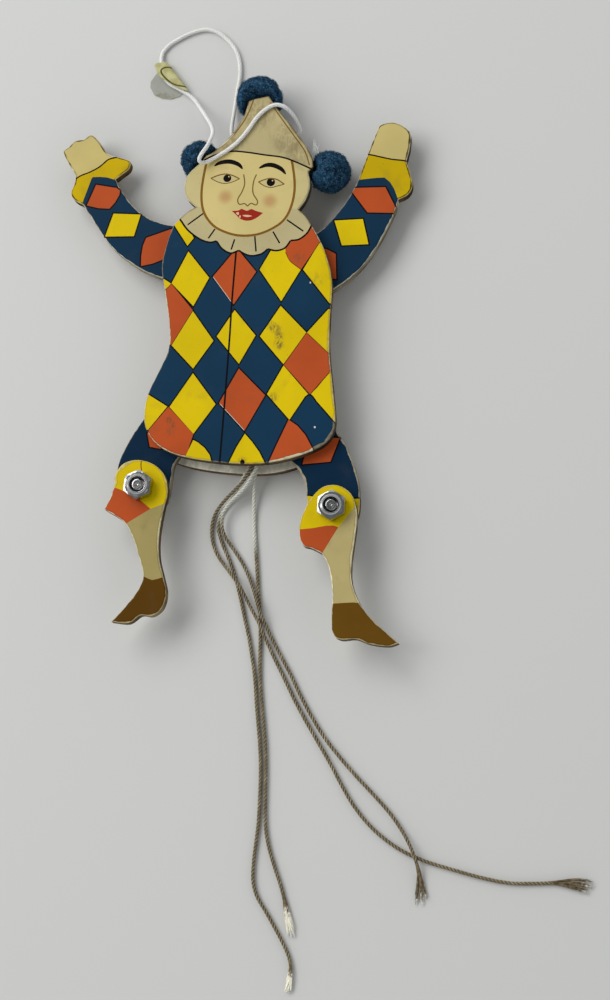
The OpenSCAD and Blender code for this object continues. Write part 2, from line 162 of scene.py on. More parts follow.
def make_mesh(name, points_mm, faces, materials, body, of_face=None):
    """A smooth-shaded mesh object from points in millimetres, riding on a body."""
    mesh = bpy.data.meshes.new(name)
    mesh.from_pydata([tuple(float(c) * MM for c in p) for p in points_mm], [], faces)
    for m in materials:
        mesh.materials.append(m)
    if of_face is not None:
        mesh.polygons.foreach_set("material_index", of_face)
    mesh.polygons.foreach_set("use_smooth", [True] * len(mesh.polygons))
    mesh.update()
    made = placed(name, mesh)
    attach(made, body)
    return made


def point_values(made, name, values):
    made.data.attributes.new(name, "FLOAT", "POINT").data.foreach_set("value", values)


def dress(made, sharp=None, outward=False, weld=None):
    """Merges points closer than weld, turns the faces outwards, and marks as sharp the edges that
    turn by more than sharp degrees, each where asked."""
    work = bmesh.new()
    work.from_mesh(made.data)
    if weld:
        bmesh.ops.remove_doubles(work, verts=work.verts, dist=weld)
    if outward:
        bmesh.ops.recalc_face_normals(work, faces=work.faces)
    for edge in work.edges if sharp else ():
        if len(edge.link_faces) != 2 or edge.calc_face_angle(0) > math.radians(sharp):
            edge.smooth = False
    work.to_mesh(made.data)
    work.free()


def ring_faces(rings, count, closed_ends=True, start=0):
    """The faces that join rings of count points each, in order."""
    faces = []
    for i in range(rings - 1):
        for k in range(count):
            a, b = start + i * count + k, start + i * count + (k + 1) % count
            faces.append((a, b, b + count, a + count))
    if closed_ends:
        last = start + (rings - 1) * count
        faces += [tuple(range(start, start + count))[::-1], tuple(range(last, last + count))]
    return faces


def hair(line, thick, thin, sides):
    """The points of a thin round hair along a line, and how far along each one is, from 0 to 1."""
    side, over = carried_frames(np.array(line))
    points, shares = [], []
    for i, p in enumerate(line):
        share = i / (len(line) - 1)
        for a in (TURN * k / sides for k in range(sides)):
            away = math.cos(a) * side[i] + math.sin(a) * over[i]
            points.append(p + (thick + (thin - thick) * share) * away)
            shares.append(share)
    return points, shares


# ---- materials ---------------------------------------------------------------

LIT = 0.88  # what a white sheet on the floor gives back here
HAZE = 0.005  # what a dark, matt paint gives back on top of its own colour


def seen(r, g, b):
    """The colour of a surface that this scene's light shows as this 0 to 255 colour."""
    light = [((v / 255 + 0.055) / 1.055) ** 2.4 if v > 10 else v / 255 / 12.92 for v in (r, g, b)]
    return tuple(min(0.94, max(0.0015, (v - HAZE) / LIT)) for v in light)


def shade(colour, by):
    return tuple(min(1.0, max(0.0, c * by)) for c in colour)


class Nodes:
    """A material's node tree, with short calls for the nodes used here. Its colour is the base colour
    so far, over which the next one is laid."""

    def __init__(self, name, colour, roughness=0.5, **sockets):
        self.material = bpy.data.materials.new(name)
        self.material.use_nodes = True
        self.material.diffuse_color = (*colour, 1)
        self.tree = self.material.node_tree
        self.shader = self.tree.nodes["Principled BSDF"]
        self.colour = colour
        self.set("Base Color", (*colour, 1))
        self.set("Roughness", roughness)
        for key, value in sockets.items():
            self.set(key.replace("_", " "), value)
        self.place = self.add("ShaderNodeTexCoord").outputs["Object"]

    def add(self, kind, **options):
        made = self.tree.nodes.new(kind)
        for key, value in options.items():
            setattr(made, key, value)
        return made

    def put(self, value, socket):
        if isinstance(value, bpy.types.NodeSocket):
            self.tree.links.new(value, socket)
        else:
            socket.default_value = value

    def set(self, name, value):
        self.put(value, self.shader.inputs[name])

    def noise(self, scale, detail=3.0, stretch=(1, 1, 1), source=None, distortion=0.0):
        mapped = self.add("ShaderNodeMapping")
        self.put(source or self.place, mapped.inputs["Vector"])
        mapped.inputs["Scale"].default_value = stretch
        made = self.add("ShaderNodeTexNoise")
        self.put(mapped.outputs["Vector"], made.inputs["Vector"])
        for name, value in (("Scale", scale), ("Detail", detail), ("Distortion", distortion)):
            made.inputs[name].default_value = value
        return made.outputs["Fac"]

    def spread(self, value, low, high, to_low=0.0, to_high=1.0):
        """value between low and high becomes to_low to to_high, held at both ends."""
        made = self.add("ShaderNodeMapRange", clamp=True, interpolation_type="SMOOTHSTEP")
        for socket, v in zip(made.inputs, (value, low, high, to_low, to_high)):
            self.put(v, socket)
        return made.outputs["Result"]

    def total(self, *terms, start=0.0):
        """start and a share of each value, from (value, share)."""
        for term in terms:
            made = self.add("ShaderNodeMath", operation="MULTIPLY_ADD")
            for socket, v in zip(made.inputs, (*term, start)):
                self.put(v, socket)
            start = made.outputs[0]
        return start

    def mix(self, share, a, b):
        made = self.add("ShaderNodeMix", data_type="RGBA")
        self.put(share, made.inputs["Factor"])
        for socket, v in ((made.inputs[6], a), (made.inputs[7], b)):
            self.put(v if isinstance(v, bpy.types.NodeSocket) else (*v, 1), socket)
        return made.outputs[2]

    def cover(self, share, colour):
        """Lays a colour over the base colour."""
        self.colour = self.mix(share, self.colour, colour)
        self.set("Base Color", self.colour)

    def between(self, value, low, high, first, second):
        """Sets the base colour to run from first to second as value goes from low to high."""
        self.colour = first
        self.cover(self.spread(value, low, high), second)

    def stain(self, value, low, high, share, colour):
        """Lays share of a colour over the base colour where value is high."""
        self.cover(self.spread(value, low, high, 0.0, share), colour)

    def attribute(self, name):
        return self.add("ShaderNodeAttribute", attribute_name=name).outputs["Fac"]

    def near(self, place, radius, inner, strength):
        """strength within inner of a place on the front, falling to nothing at radius."""
        gap = self.add("ShaderNodeVectorMath", operation="DISTANCE")
        self.put(self.place, gap.inputs[0])
        gap.inputs[1].default_value = tuple(c * MM for c in (*place, FRONT_Z))
        return self.spread(gap.outputs["Value"], inner * MM, radius * MM, strength, 0.0)

    def bump(self, height, depth_mm, strength=1.0):
        made = self.add("ShaderNodeBump")
        made.inputs["Strength"].default_value = strength
        made.inputs["Distance"].default_value = depth_mm * MM
        self.put(height, made.inputs["Height"])
        self.set("Normal", made.outputs["Normal"])


FRONT_Z = 9.5  # the painted side of the front panel
GRIME = seen(88, 74, 52)
BLUSH = seen(158, 98, 66)
CREAM = (196, 186, 154)
DARK_EDGE = seen(52, 40, 24)


def paint(name, colour, grime=0.2, under=CREAM, edged=False, smudges=(), cheeks=(), cloud=0.07):
    """Old satin paint over wood, rubbed through along its edges to what is under it, in a pale band
    that is partly a painted highlight of the rounded edge; both colours are as seen. An edged one has
    a dark line painted along the sheet's edge. smudges and cheeks are (x, y, radius, strength)."""
    colour, under = seen(*colour), seen(*under)
    n = Nodes(name, colour, 0.5, Specular_IOR_Level=0.06)
    cloudy = n.noise(70, 3)
    n.between(cloudy, 0.3, 0.72, shade(colour, 1 - cloud), shade(colour, 1 + cloud))
    for *place, radius, strength in cheeks:
        n.cover(n.near(place, radius, radius * 0.15, strength), BLUSH)
    # stains in soft patches, darker where they gather, and a few specks
    n.stain(n.noise(150, 5, distortion=0.6), 0.55, 0.78, grime, GRIME)
    n.stain(n.noise(1500, 2), 0.70, 0.76, grime * 1.4, GRIME)
    streaks = n.spread(n.noise(900, 4, (1.6, 0.7, 1), distortion=0.8), 0.38, 0.62, 0.1, 1.0)
    for *place, radius, strength in smudges:
        n.cover(n.total((n.near(place, radius * 1.3, radius * 0.3, strength), streaks)), GRIME)
    # along the edge: the line, a darker band, then the pale band where the paint is gone, partly a painted
    # highlight
    from_edge, wear_and_highlight = n.attribute("from_edge"), n.attribute("wear_and_highlight")
    wander = n.total((n.noise(420, 4), 0.8), start=-0.4)
    if edged:
        n.cover(n.spread(n.total((from_edge, 1), (wander, 1)), 0.32, 0.5, 1.0, 0.0), DARK_EDGE)
    gap = n.total((from_edge, 1), (wear_and_highlight, -1), (wander, -1))
    n.cover(n.spread(gap, 0.0, 0.4, 0.45, 0.0), shade(colour, 0.4))
    # the pale band at the very edge: paint rubbed off and a painted highlight of the rounded edge
    bare_and_highlit = n.spread(gap, -0.06, 0.05, 1.0, 0.0)
    n.cover(bare_and_highlit, n.mix(n.spread(n.noise(900, 3), 0.4, 0.65), under, shade(under, 0.72)))
    n.set("Roughness", n.spread(cloudy, 0.3, 0.8, 0.44, 0.6))
    fibres = n.noise(900, 3, (1, 0.05, 1))
    n.bump(n.total((fibres, 0.3), (n.noise(260, 3), 0.6), (bare_and_highlit, -0.8)), 0.05, 0.7)
    return n.material


def bare_wood(name, colour, dark, grain_along=(1, 0.06, 1)):
    """Unpainted wood with grain, pores and stains."""
    n = Nodes(name, colour, Specular_IOR_Level=0.2)
    grain = n.noise(700, 4, grain_along, distortion=0.4)
    n.between(grain, 0.35, 0.7, shade(colour, 0.78), shade(colour, 1.12))
    n.stain(n.noise(90, 3, grain_along, distortion=1.2), 0.45, 0.7, 0.6, dark)
    pores = n.noise(2600, 2, grain_along)
    n.stain(pores, 0.62, 0.70, 0.55, dark)
    n.set("Roughness", n.spread(grain, 0.3, 0.7, 0.6, 0.85))
    n.bump(n.total((grain, 1), (pores, -0.6)), 0.08, 0.9)
    return n.material


def sawn_edge(name, colour, dark, pale, share=0.75):
    """The sawn side of a sheet: in thin layers along the sheet, rubbed pale in places."""
    n = Nodes(name, seen(*colour), 0.62, Specular_IOR_Level=0.16)
    layers = n.noise(900, 2, (0.12, 0.12, 1.6))
    n.between(layers, 0.38, 0.62, seen(*dark), seen(*colour))
    n.stain(n.noise(150, 4), 0.55, 0.68, share, seen(*pale))
    n.bump(n.total((layers, 1), (n.noise(1400, 3), 0.5)), 0.06, 0.9)
    return n.material


def plated_steel(name, dull_share):
    n = Nodes(name, (0.74, 0.74, 0.75), 0.2, Metallic=1.0)
    n.colour = (0.47, 0.47, 0.47)
    n.stain(n.noise(300, 2), 0.42, 0.72, dull_share, (0.38, 0.38, 0.37))
    n.set("Roughness", n.spread(n.noise(700, 4), 0.3, 0.7, 0.15, 0.2))
    return n.material


def fibre_cord(name, colour, dark, pale, white_above=None, white=None, depth=0.94, pale_tip=0.93):
    """Twisted fibre: UV runs round the cord and along it, in millimetres. It is white above a height
    and from pale_tip of the way along its loose end. The grooves between its strands get a painted
    shade, depth being how dark."""
    n = Nodes(name, colour, 0.85, Specular_IOR_Level=0.1, Sheen_Weight=0.15)
    uv = n.add("ShaderNodeUVMap", uv_map="round_and_along").outputs["UV"]
    fibres = n.noise(1.0, 3, (26, 1.6, 1), uv)
    blotches = n.noise(1.0, 3, (0.6, 0.25, 1), uv)

    def strand(base, low, high):
        mixed = n.mix(n.spread(fibres, 0.3, 0.7), low, base)
        return n.mix(n.spread(blotches, 0.45, 0.75, 0.0, 0.6), mixed, high)

    n.colour = strand(colour, dark, pale)
    # painted shade in the grooves between the strands
    groove_shade = n.spread(n.attribute("groove"), 0.06, 0.62, 0.0, depth)
    n.cover(groove_shade, shade(dark, 0.4))
    if white:
        height = n.add("ShaderNodeSeparateXYZ")
        n.put(n.place, height.inputs[0])
        along = n.total((height.outputs["Y"], 1), (fibres, 0.006), start=-0.003)
        pure = strand(white, shade(white, 0.7), white)
        # the white part keeps some of that painted shade in its grooves
        whiter = n.mix(n.total((groove_shade, 0.6)), pure, shade(white, 0.35))
        n.stain(along, (white_above - 4) * MM, (white_above + 3) * MM, 0.95, whiter)
        n.stain(n.attribute("tip"), pale_tip - 0.1, pale_tip + 0.1, 1.0, white)
    n.bump(fibres, 0.12, 0.9)
    return n.material


def fray_fibre(name, colour, pale, turns_at):
    """Loose fibre, which turns pale towards its tip."""
    n = Nodes(name, colour, 0.85, Specular_IOR_Level=0.1)
    blotches = n.noise(1400, 3)
    n.between(blotches, 0.35, 0.65, shade(colour, 0.55), shade(colour, 1.3))
    share = n.total((n.attribute("tip"), 1), (blotches, 0.5), start=-0.25)
    n.stain(share, turns_at - 0.12, turns_at + 0.12, 1.0, pale)
    return n.material


# ---- cords -------------------------------------------------------------------

CORE = 0.36  # how thick a cord's core is where its strands are loose
CORE_OVER = 1.1  # the length over which it thins to that
STRAND_AT, STRAND_R = 0.46, 0.54  # a strand's middle and radius, as shares of the cord's radius


def lobed_ring(strands, per_strand, depth):
    """The outline of round strands lying together: for each angle its radius as a share of the whole
    radius, and how deep in the groove between two strands it is, from 0 to 1."""

    def reach(off):
        across = STRAND_R**2 - (STRAND_AT * math.sin(off)) ** 2
        return STRAND_AT * math.cos(off) + math.sqrt(max(0.0, across))

    lowest, count, ring = reach(math.pi / strands), strands * per_strand, []
    for k in range(count):
        short = 1 - reach(((k % per_strand) / per_strand - 0.5) * TURN / strands)
        ring.append((TURN * k / count, 1 - short * depth, short / (1 - lowest)))
    return ring


class Tubes:
    """Twisted tubes gathered into one mesh, with the UV and the attributes that fibre_cord reads."""

    def __init__(self):
        self.points, self.faces, self.uvs, self.groove, self.tip = [], [], [], [], []

    def twisted(self, line, diameter, strands, twist, loose=0.0, per_strand=7, depth=1.0):
        """A tube of twisted strands round a line. twist is the length of one turn. Over the last loose
        millimetres only the core of the cord is left, since its strands have come apart."""
        side, over = carried_frames(line)
        ring = lobed_ring(strands, per_strand, depth)
        count, start = len(ring), len(self.points)
        along = distance_along(line)
        for i, middle in enumerate(line):
            into = loose - (along[-1] - along[i])
            share = 1.0 if into <= 0 else max(CORE, 1 - (1 - CORE) * into / CORE_OVER)
            self.tip += [max(0.0, into / loose) if loose else 0.0] * count
            for angle, reach, groove in ring:
                a = angle + TURN * along[i] / twist
                away = math.cos(a) * side[i] + math.sin(a) * over[i]
                self.points.append(middle + diameter / 2 * reach * share * away)
                self.groove.append(groove)
        self.faces += ring_faces(len(line), count, start=start)
        for v0, v1 in zip(along, along[1:]):
            for k in range(count):
                u0, u1 = k / count, (k + 1) / count
                self.uvs += [u0, v0, u1, v0, u1, v1, u0, v1]
        self.uvs += [0.0] * (4 * count)

    def made(self, name, material, body, slot, replaced):
        made = make_mesh(name, self.points, self.faces, [material], body)
        made.data.uv_layers.new(name="round_and_along").data.foreach_set("uv", self.uvs)
        point_values(made, "groove", self.groove)
        point_values(made, "tip", self.tip)
        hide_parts(replaced)
        return made


def fibre_mesh(name, fibres, material, body):
    """Many thin fibres in one mesh. Each is (line, radius at the root, radius at the tip)."""
    points, faces, tip, sides = [], [], [], 5
    for line, thick, thin in fibres:
        faces += ring_faces(len(line), sides, start=len(points))
        more, shares = hair(line, thick, thin, sides)
        points += more
        tip += shares
    made = make_mesh(name, points, faces, [material], body)
    point_values(made, "tip", tip)
    return made


def frayed_end(name, line, back, bundles, spread, past, material, chance, lean):
    """The loose strands at a cord's end, from back millimetres before its tip. They fan out spread to
    each side, and each has a few fine fibres of its own. lean moves all their tips sideways."""
    along = distance_along(line)
    end = point_at(line, along, along[-1])
    ahead = unit(end - point_at(line, along, along[-1] - 1.2))
    side = np.cross((0, 0, 1), ahead)
    fibres, root = [], 0.6
    for b in range(bundles):
        fan = ((b + 0.5) / bundles * 2 - 1) * spread + chance.uniform(-0.25, 0.25) * spread
        reach = back * chance.uniform(0.72, 1.0) + past * chance.random()
        wave, phase = chance.uniform(0.08, 0.24), chance.uniform(0, 6.28)
        lift = chance.uniform(-0.05, 0.5)
        for f in range(7):
            loose = 0.0 if f == 0 else chance.uniform(-0.5, 0.5)
            longer = 1.0 if f == 0 else chance.uniform(0.7, 1.12)
            fibre = []
            for t in (k / 11 for k in range(12)):
                at = along[-1] - back - root + (reach + root) * longer * t
                middle = point_at(line, along, min(at, along[-1]))
                middle = middle + ahead * max(0.0, at - along[-1])
                waving = wave * math.sin(phase + 5.5 * t) * t
                off = 0.22 * fan / spread * (1 - t) + (fan + lean + loose) * t**1.35 + waving
                p = middle + side * off
                p[2] = max(0.12, p[2] + lift * math.sin(2.6 * t) + loose * 0.3 * t)
                fibre.append(p)
            fibres.append((fibre, 0.26, 0.17) if f == 0 else (fibre, 0.08, 0.045))
    return fibre_mesh(name, fibres, material, BODY)


RING = 8  # the points round each of the part's cords
# where each cord starts, and how many rings of points it has for each point of its route
STARTS = {
    "pull_cord_arm_left": ((2.6, -25, 4.95), 2),
    "pull_cord_arm_right": ((3.9, -25, 4.95), 2),
    "pull_cord_leg_left": ((1.2, -25, 3.7), 2),
    "pull_cord_leg_right": ((4.6, -25, 3.7), 2),
    "hanging_cord": ((-1.8, 60.4, 4.6), 1),
}


def route_of(node):
    """The points that the part's cord is drawn through, to a hundredth of a millimetre: the middles of
    the rings of its mesh, one after another from where it starts."""
    start, every = STARTS[node]
    work = bmesh.new()
    work.from_mesh(NODES[node].data)
    bmesh.ops.remove_doubles(work, verts=work.verts, dist=WELD)
    ring = set(sorted(work.verts, key=lambda v: (v.co - Vector(start) * MM).length)[:RING])
    passed, middles = set(), []
    while ring:
        middles.append(np.mean([v.co for v in ring], axis=0))
        passed |= ring
        ring = {edge.other_vert(v) for v in ring for edge in v.link_edges} - passed
    work.free()
    return np.round(np.array(middles[::every], float) / MM, 2)


ROUTES = {node: route_of(node) for node in STARTS}
TWINE = 1.0
HANGING = 1.1
BROWN_TWINE = (seen(164, 151, 124), seen(104, 92, 70), seen(188, 176, 150))
WHITE_TWINE = {"white": seen(240, 236, 222), "white_above": -43}
FRAYED_BROWN, PALE_FIBRE = seen(112, 99, 78), seen(232, 228, 212)
twine_brown = fibre_cord("twine_brown", *BROWN_TWINE)
twine_two_tone = fibre_cord("twine_two_tone", *BROWN_TWINE, **WHITE_TWINE)
twine_white_tip = fibre_cord("twine_white_tip", *BROWN_TWINE, **WHITE_TWINE, pale_tip=0.4)
WHITE_TWINE["white_above"] = -50
twine_long_white = fibre_cord("twine_long_white", *BROWN_TWINE, **WHITE_TWINE, pale_tip=0.4)
COTTON = ((0.92, 0.92, 0.90), (0.72, 0.71, 0.68), (0.95, 0.95, 0.93))
# depth here sets how dark the painted shade in the cotton's grooves is
white_cotton = fibre_cord("white_cotton", *COTTON, depth=0.25)
brown_fray = fray_fibre("brown_fray", FRAYED_BROWN, PALE_FIBRE, 0.97)
white_fray = fray_fibre("white_fray", FRAYED_BROWN, PALE_FIBRE, 0.55)

# each tail's twine, and what frays at its end: how far back, how many strands, how wide, how far
# past the tip, of what, and how much to one side
FRAYS = {
    "pull_cord_arm_left": (twine_brown, 10.0, 7, 1.7, 0.4, brown_fray, -0.2),
    "pull_cord_arm_right": (twine_two_tone, 10.5, 6, 1.6, 0.4, brown_fray, 0.0),
    "pull_cord_leg_left": (twine_white_tip, 8.0, 5, 0.6, 0.4, white_fray, 0.0),
    "pull_cord_leg_right": (twine_long_white, 11.5, 6, 1.0, 0.3, white_fray, 0.1),
}


def make_pull_cords():
    for seed, (name, (material, back, *fray, fibre, lean)) in enumerate(FRAYS.items(), 11):
        line = spaced(through(ROUTES[name], 8), 0.2)
        tubes = Tubes()
        tubes.twisted(line, TWINE, 3, 3.0, loose=back)
        cord = tubes.made(name + "_twine", material, BODY, "twine", name)
        chance = random.Random(seed)
        ends = frayed_end(name + "_fray", line, back, *fray, fibre, chance, lean)


def make_hanging_cord():
    tubes = Tubes()
    tubes.twisted(spaced(through(ROUTES["hanging_cord"], 8), 0.22), HANGING, 4, 4.4, depth=0.5)
    cord = tubes.made("hanging_cord_cotton", white_cotton, BODY, "white_cord", "hanging_cord")


def trefoil(centre, size, lift, count=110):
    """A closed line tied in a simple knot."""
    t = TURN * np.arange(count + 1) / count
    x, y = np.sin(t) + 2 * np.sin(2 * t), np.cos(t) - 2 * np.cos(2 * t)
    return np.array(centre) + np.stack([size / 3 * x, size / 3 * y, -lift * np.sin(3 * t)], axis=1)


HANGING_TAILS = [
    [(0.6, 59.6, 4.6), (1.1, 58.4, 4.4), (1.9, 57.3, 4.1)],
    [(0, 61.2, 4.6), (-0.6, 62.2, 4.6), (-0.7, 63.4, 4.3)],
]


def make_hanging_knot():
    tubes = Tubes()
    tubes.twisted(trefoil((0.4, 60.4, 4.5), 1.78, 0.62), HANGING, 4, 4.4, depth=0.5)
    for tail in HANGING_TAILS:
        line = spaced(through(tail, 6), 0.2)
        tubes.twisted(line, HANGING, 4, 4.4, loose=0.8, depth=0.5)
    tubes.made("hanging_knot_tied", white_cotton, BODY, "white_cord", "hanging_knot")


# the cords inside: from one lever across to the other, and from there down to the tails
DRAW_CORDS = {
    "arm_draw_cord": [(-5, 20.5, 5.3), (3.4, 20.5, 5.3), (0.2, -22, 5.3)],
    "leg_draw_cord": [(-2.2, -15.5, 3.9), (3.2, -15.5, 3.9), (2, -19.4, 3.9)],
}
KNOT_UP = 1.2  # how far a draw cord's lower knot is above its end


def make_draw_cords():
    for name, (left, right, foot) in DRAW_CORDS.items():
        middle = (foot[0], left[1], left[2])
        above_foot = (foot[0], foot[1] + KNOT_UP, foot[2])
        tubes = Tubes()
        for ends in ((left, right), (middle, foot)):
            tubes.twisted(spaced(np.array(ends, float), 0.2), TWINE * 0.96, 3, 3.0)
        for at, size in ((middle, 0.72), (above_foot, 0.6)):
            tubes.twisted(trefoil(at, size, 0.16, 60), TWINE * 0.55, 3, 2.0, per_strand=5)
        tubes.made(name + "_twine", twine_brown, body_of(NODES[name])[0], "twine", name)


make_pull_cords()
make_hanging_cord()
make_hanging_knot()
make_draw_cords()

# ---- painted sheets ----------------------------------------------------------

UPWARD = 0.99  # a face whose normal rises more than this looks up
SLIVER = 1e-7  # twice the area, in square millimetres, of a triangle too thin to keep


def loops_at_top(node):
    """The outlines of a sheet's painted side, in millimetres, the outer one first and then its holes,
    and the heights of its underside and its top."""
    work = bmesh.new()
    work.from_mesh(NODES[node].data)
    bmesh.ops.remove_doubles(work, verts=work.verts, dist=WELD)
    work.normal_update()
    top = max(v.co.z for v in work.verts)
    following = {}
    for face in work.faces:
        if face.normal.z < UPWARD or abs(face.calc_center_median().z - top) > WELD:
            continue
        for loop in face.loops:
            if all(f.normal.z < UPWARD for f in loop.edge.link_faces if f is not face):
                following[loop.vert.index] = loop.link_loop_next.vert.index
    work.verts.ensure_lookup_table()
    loops = []
    while following:
        first, at = next(iter(following.items()))
        loop = [first]
        del following[first]
        while at != first:
            loop.append(at)
            at = following.pop(at)
        loops.append(np.array([work.verts[i].co.xy for i in loop]) / MM)
    work.free()
    low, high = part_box(node)
    loops.sort(key=lambda p: -abs(area(p)))
    return loops, low.z / MM, high.z / MM


def area(loop):
    x, y = loop[:, 0], loop[:, 1]
    return 0.5 * float(np.sum(x * np.roll(y, -1) - np.roll(x, -1) * y))


def anticlockwise(loop):
    return loop if area(loop) > 0 else loop[::-1]


def inside(points, loop):
    x, y = points[:, 0], points[:, 1]
    hit = np.zeros(len(points), bool)
    for a, b in zip(loop, np.roll(loop, -1, axis=0)):
        rise = b[1] - a[1]
        if rise != 0:
            crosses = (a[1] > y) != (b[1] > y)
            hit ^= crosses & (x < (b[0] - a[0]) * (y - a[1]) / rise + a[0])
    return hit


def gap_to(points, loops):
    """Each point's distance to the nearest edge of the loops."""
    best = np.full(len(points), 1e9)
    for loop in loops:
        for a, b in zip(loop, np.roll(loop, -1, axis=0)):
            ab = b - a
            t = np.clip(((points - a) @ ab) / max(ab @ ab, 1e-12), 0, 1)
            best = np.minimum(best, np.linalg.norm(points - a - t[:, None] * ab, axis=1))
    return best


def left_of(ways):
    return np.stack([-ways[:, 1], ways[:, 0]], axis=1)


def inset(loop, by):
    """The loop moved towards the material, which lies on its left."""
    into, out = unit(loop - np.roll(loop, 1, axis=0)), unit(np.roll(loop, -1, axis=0) - loop)
    left = left_of(into + out)
    left /= np.maximum(np.linalg.norm(left, axis=1), 1e-9)[:, None]
    # a corner moves further than a side does, but a sharp one not without limit
    widen = 1 / np.maximum((left * left_of(out)).sum(axis=1), 0.6)
    return loop + left * (by * widen)[:, None]


def filled(loops, rings, regions=()):
    """Triangles that fill the outer loop but not the holes, cut along the rings and the regions: their
    points, their corners and their middles."""
    points, edges = [], []
    for loop in [*loops, *(inset(p, r) for p in loops for r in rings), *regions]:
        start = len(points)
        points += [Vector(p) for p in loop]
        edges += [(start + i, start + (i + 1) % len(loop)) for i in range(len(loop))]
    made = geometry.delaunay_2d_cdt(points, edges, [], 0, 1e-4, False)
    places = np.array([tuple(p) for p in made[0]])
    faces = np.array([tuple(f) for f in made[2]])
    corners = places[faces]
    middles = corners.mean(axis=1)
    keep = inside(middles, loops[0])
    for hole in loops[1:]:
        keep &= ~inside(middles, hole)
    ab, ac = corners[:, 1] - corners[:, 0], corners[:, 2] - corners[:, 0]
    turn = ab[:, 0] * ac[:, 1] - ab[:, 1] * ac[:, 0]
    faces = np.where((turn < 0)[:, None], faces[:, ::-1], faces)
    keep &= np.abs(turn) > SLIVER
    # the points that no kept face uses are the painted shapes' corners beyond the sheet's edge
    used, renumbered = np.unique(faces[keep], return_inverse=True)
    return places[used], renumbered.reshape(-1, 3), middles[keep]


def boundary(faces):
    """The loops of edges that have one face, as lists of vertices, in the faces' own direction, and
    for each edge its face."""
    owner = {(f[i], f[(i + 1) % 3]): n for n, f in enumerate(faces.tolist()) for i in range(3)}
    following = {a: (b, n) for (a, b), n in owner.items() if (b, a) not in owner}
    loops, owners = [], []
    while following:
        loop, own, at = [], [], next(iter(following))
        while at in following:
            loop.append(at)
            at, face = following.pop(at)
            own.append(face)
        loops.append(loop)
        owners.append(own)
    return loops, owners


# the paint is gone this far from every edge: a pale band, partly paint rubbed off and partly a painted
# highlight of the rounded edge
RUBBED_AND_HIGHLIT_EVERYWHERE = 0.2  # how far from its edge a sheet's paint is gone
EDGE_REACH = 1.6  # how far from the edge the paint still knows of it


def painted_sheet(node, regions, ground, walls, back, body, round_over=0.32, rubbed_and_highlit=()):
    """A sawn sheet that stands for a CAD sheet: its face is cut along the painted shapes, its edges
    are rounded over, and its sides and back are wood. regions are (outline, material), the later ones
    painted over the earlier; ground is the paint under them all. walls gives the sides' material and
    then those beside some paints. The last argument lists places, as (x, y, radius, width), where the
    edge's paint is gone over that width, a pale band that is partly a painted highlight."""
    loops, z0, z1 = loops_at_top(node)
    wall, *beside = walls
    materials = [ground, wall, back, *(side for _, side in beside)]
    for _, material in regions:
        if material not in materials:
            materials.append(material)
    side_of = {materials.index(m): materials.index(side) for m, side in beside if m in materials}
    top_rings = (round_over * 0.12, round_over * 0.45, round_over, 0.7, 1.3)
    flat, faces, middles = filled(loops, top_rings, [p for p, _ in regions])
    gap = gap_to(flat, loops)
    short = np.clip(1 - gap / round_over, 0, 1)
    height = z1 - round_over * (1 - np.sqrt(1 - short**2))
    of_face = np.zeros(len(faces), int)
    for outline, material in regions:
        of_face[inside(middles, outline)] = materials.index(material)
    wear_and_highlight = np.full(len(flat), RUBBED_AND_HIGHLIT_EVERYWHERE)
    for x, y, radius, width in rubbed_and_highlit:
        near = np.clip(1.6 * (1 - np.linalg.norm(flat - (x, y), axis=1) / radius), 0, 1)
        wear_and_highlight = np.maximum(wear_and_highlight, width * near)
    points = [(x, y, z) for (x, y), z in zip(flat, height)]
    all_faces, all_of = [tuple(f) for f in faces.tolist()], of_face.tolist()
    # the back, filled inside the very same loops
    edge_loops, owners = boundary(faces)
    under = round_over * 0.6
    back_flat, back_faces, _ = filled([flat[p] for p in edge_loops], (under,))
    back_gap = gap_to(back_flat, loops)
    start = len(points)
    points += [(x, y, z0 + max(0.0, under - g)) for (x, y), g in zip(back_flat, back_gap)]
    all_faces += [tuple(start + i for i in f[::-1]) for f in back_faces.tolist()]
    all_of += [materials.index(back)] * len(back_faces)
    # the sides, from each edge of the face to the same edge of the back
    back_edge = [i for loop in boundary(back_faces)[0] for i in loop]
    nearest = {tuple(np.round(back_flat[i], 4)): start + i for i in back_edge}
    for loop, own in zip(edge_loops, owners):
        below = [nearest[tuple(np.round(flat[i], 4))] for i in loop]
        for i, j, k, m, face in zip(loop, loop[1:] + loop[:1], below[1:] + below[:1], below, own):
            all_faces.append((j, i, m, k))
            all_of.append(side_of.get(int(of_face[face]), 1))
    made = make_mesh(node + "_painted", points, all_faces, materials, body, all_of)
    count = len(back_flat)
    point_values(made, "from_edge", [*np.clip(gap, 0, EDGE_REACH), *([EDGE_REACH] * count)])
    point_values(made, "wear_and_highlight", [*wear_and_highlight, *([0.0] * count)])
    dress(made, sharp=24)
    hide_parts(node)


def stroke(points, width, taper=False):
    """The outline of a brush stroke through points; a tapered one thins towards both ends."""
    line = through(points, 5)
    left = left_of(unit(np.gradient(line, axis=0)))
    share = np.linspace(-1, 1, len(line))
    half = width / 2 * (np.sqrt(np.maximum(0.02, 1 - share**2)) if taper else np.ones(len(line)))
    return np.concatenate([line + left * half[:, None], (line - left * half[:, None])[::-1]])


def closed(points, steps=5):
    """A smooth closed outline through points."""
    return through([*points, *points[:3]], steps)[steps : steps * (len(points) + 1)]


def shape(*points):
    return np.array(points, float)


def disc(at, radius, count):
    turns = np.linspace(0, TURN, count, endpoint=False)
    return np.array([(at[0] + radius * math.cos(a), at[1] + radius * math.sin(a)) for a in turns])


def outlined(patches, width):
    """The patches, each an (outline, material), over a dark line round every one of them."""
    return [(inset(anticlockwise(outline), -width), navy_line) for outline, _ in patches] + patches


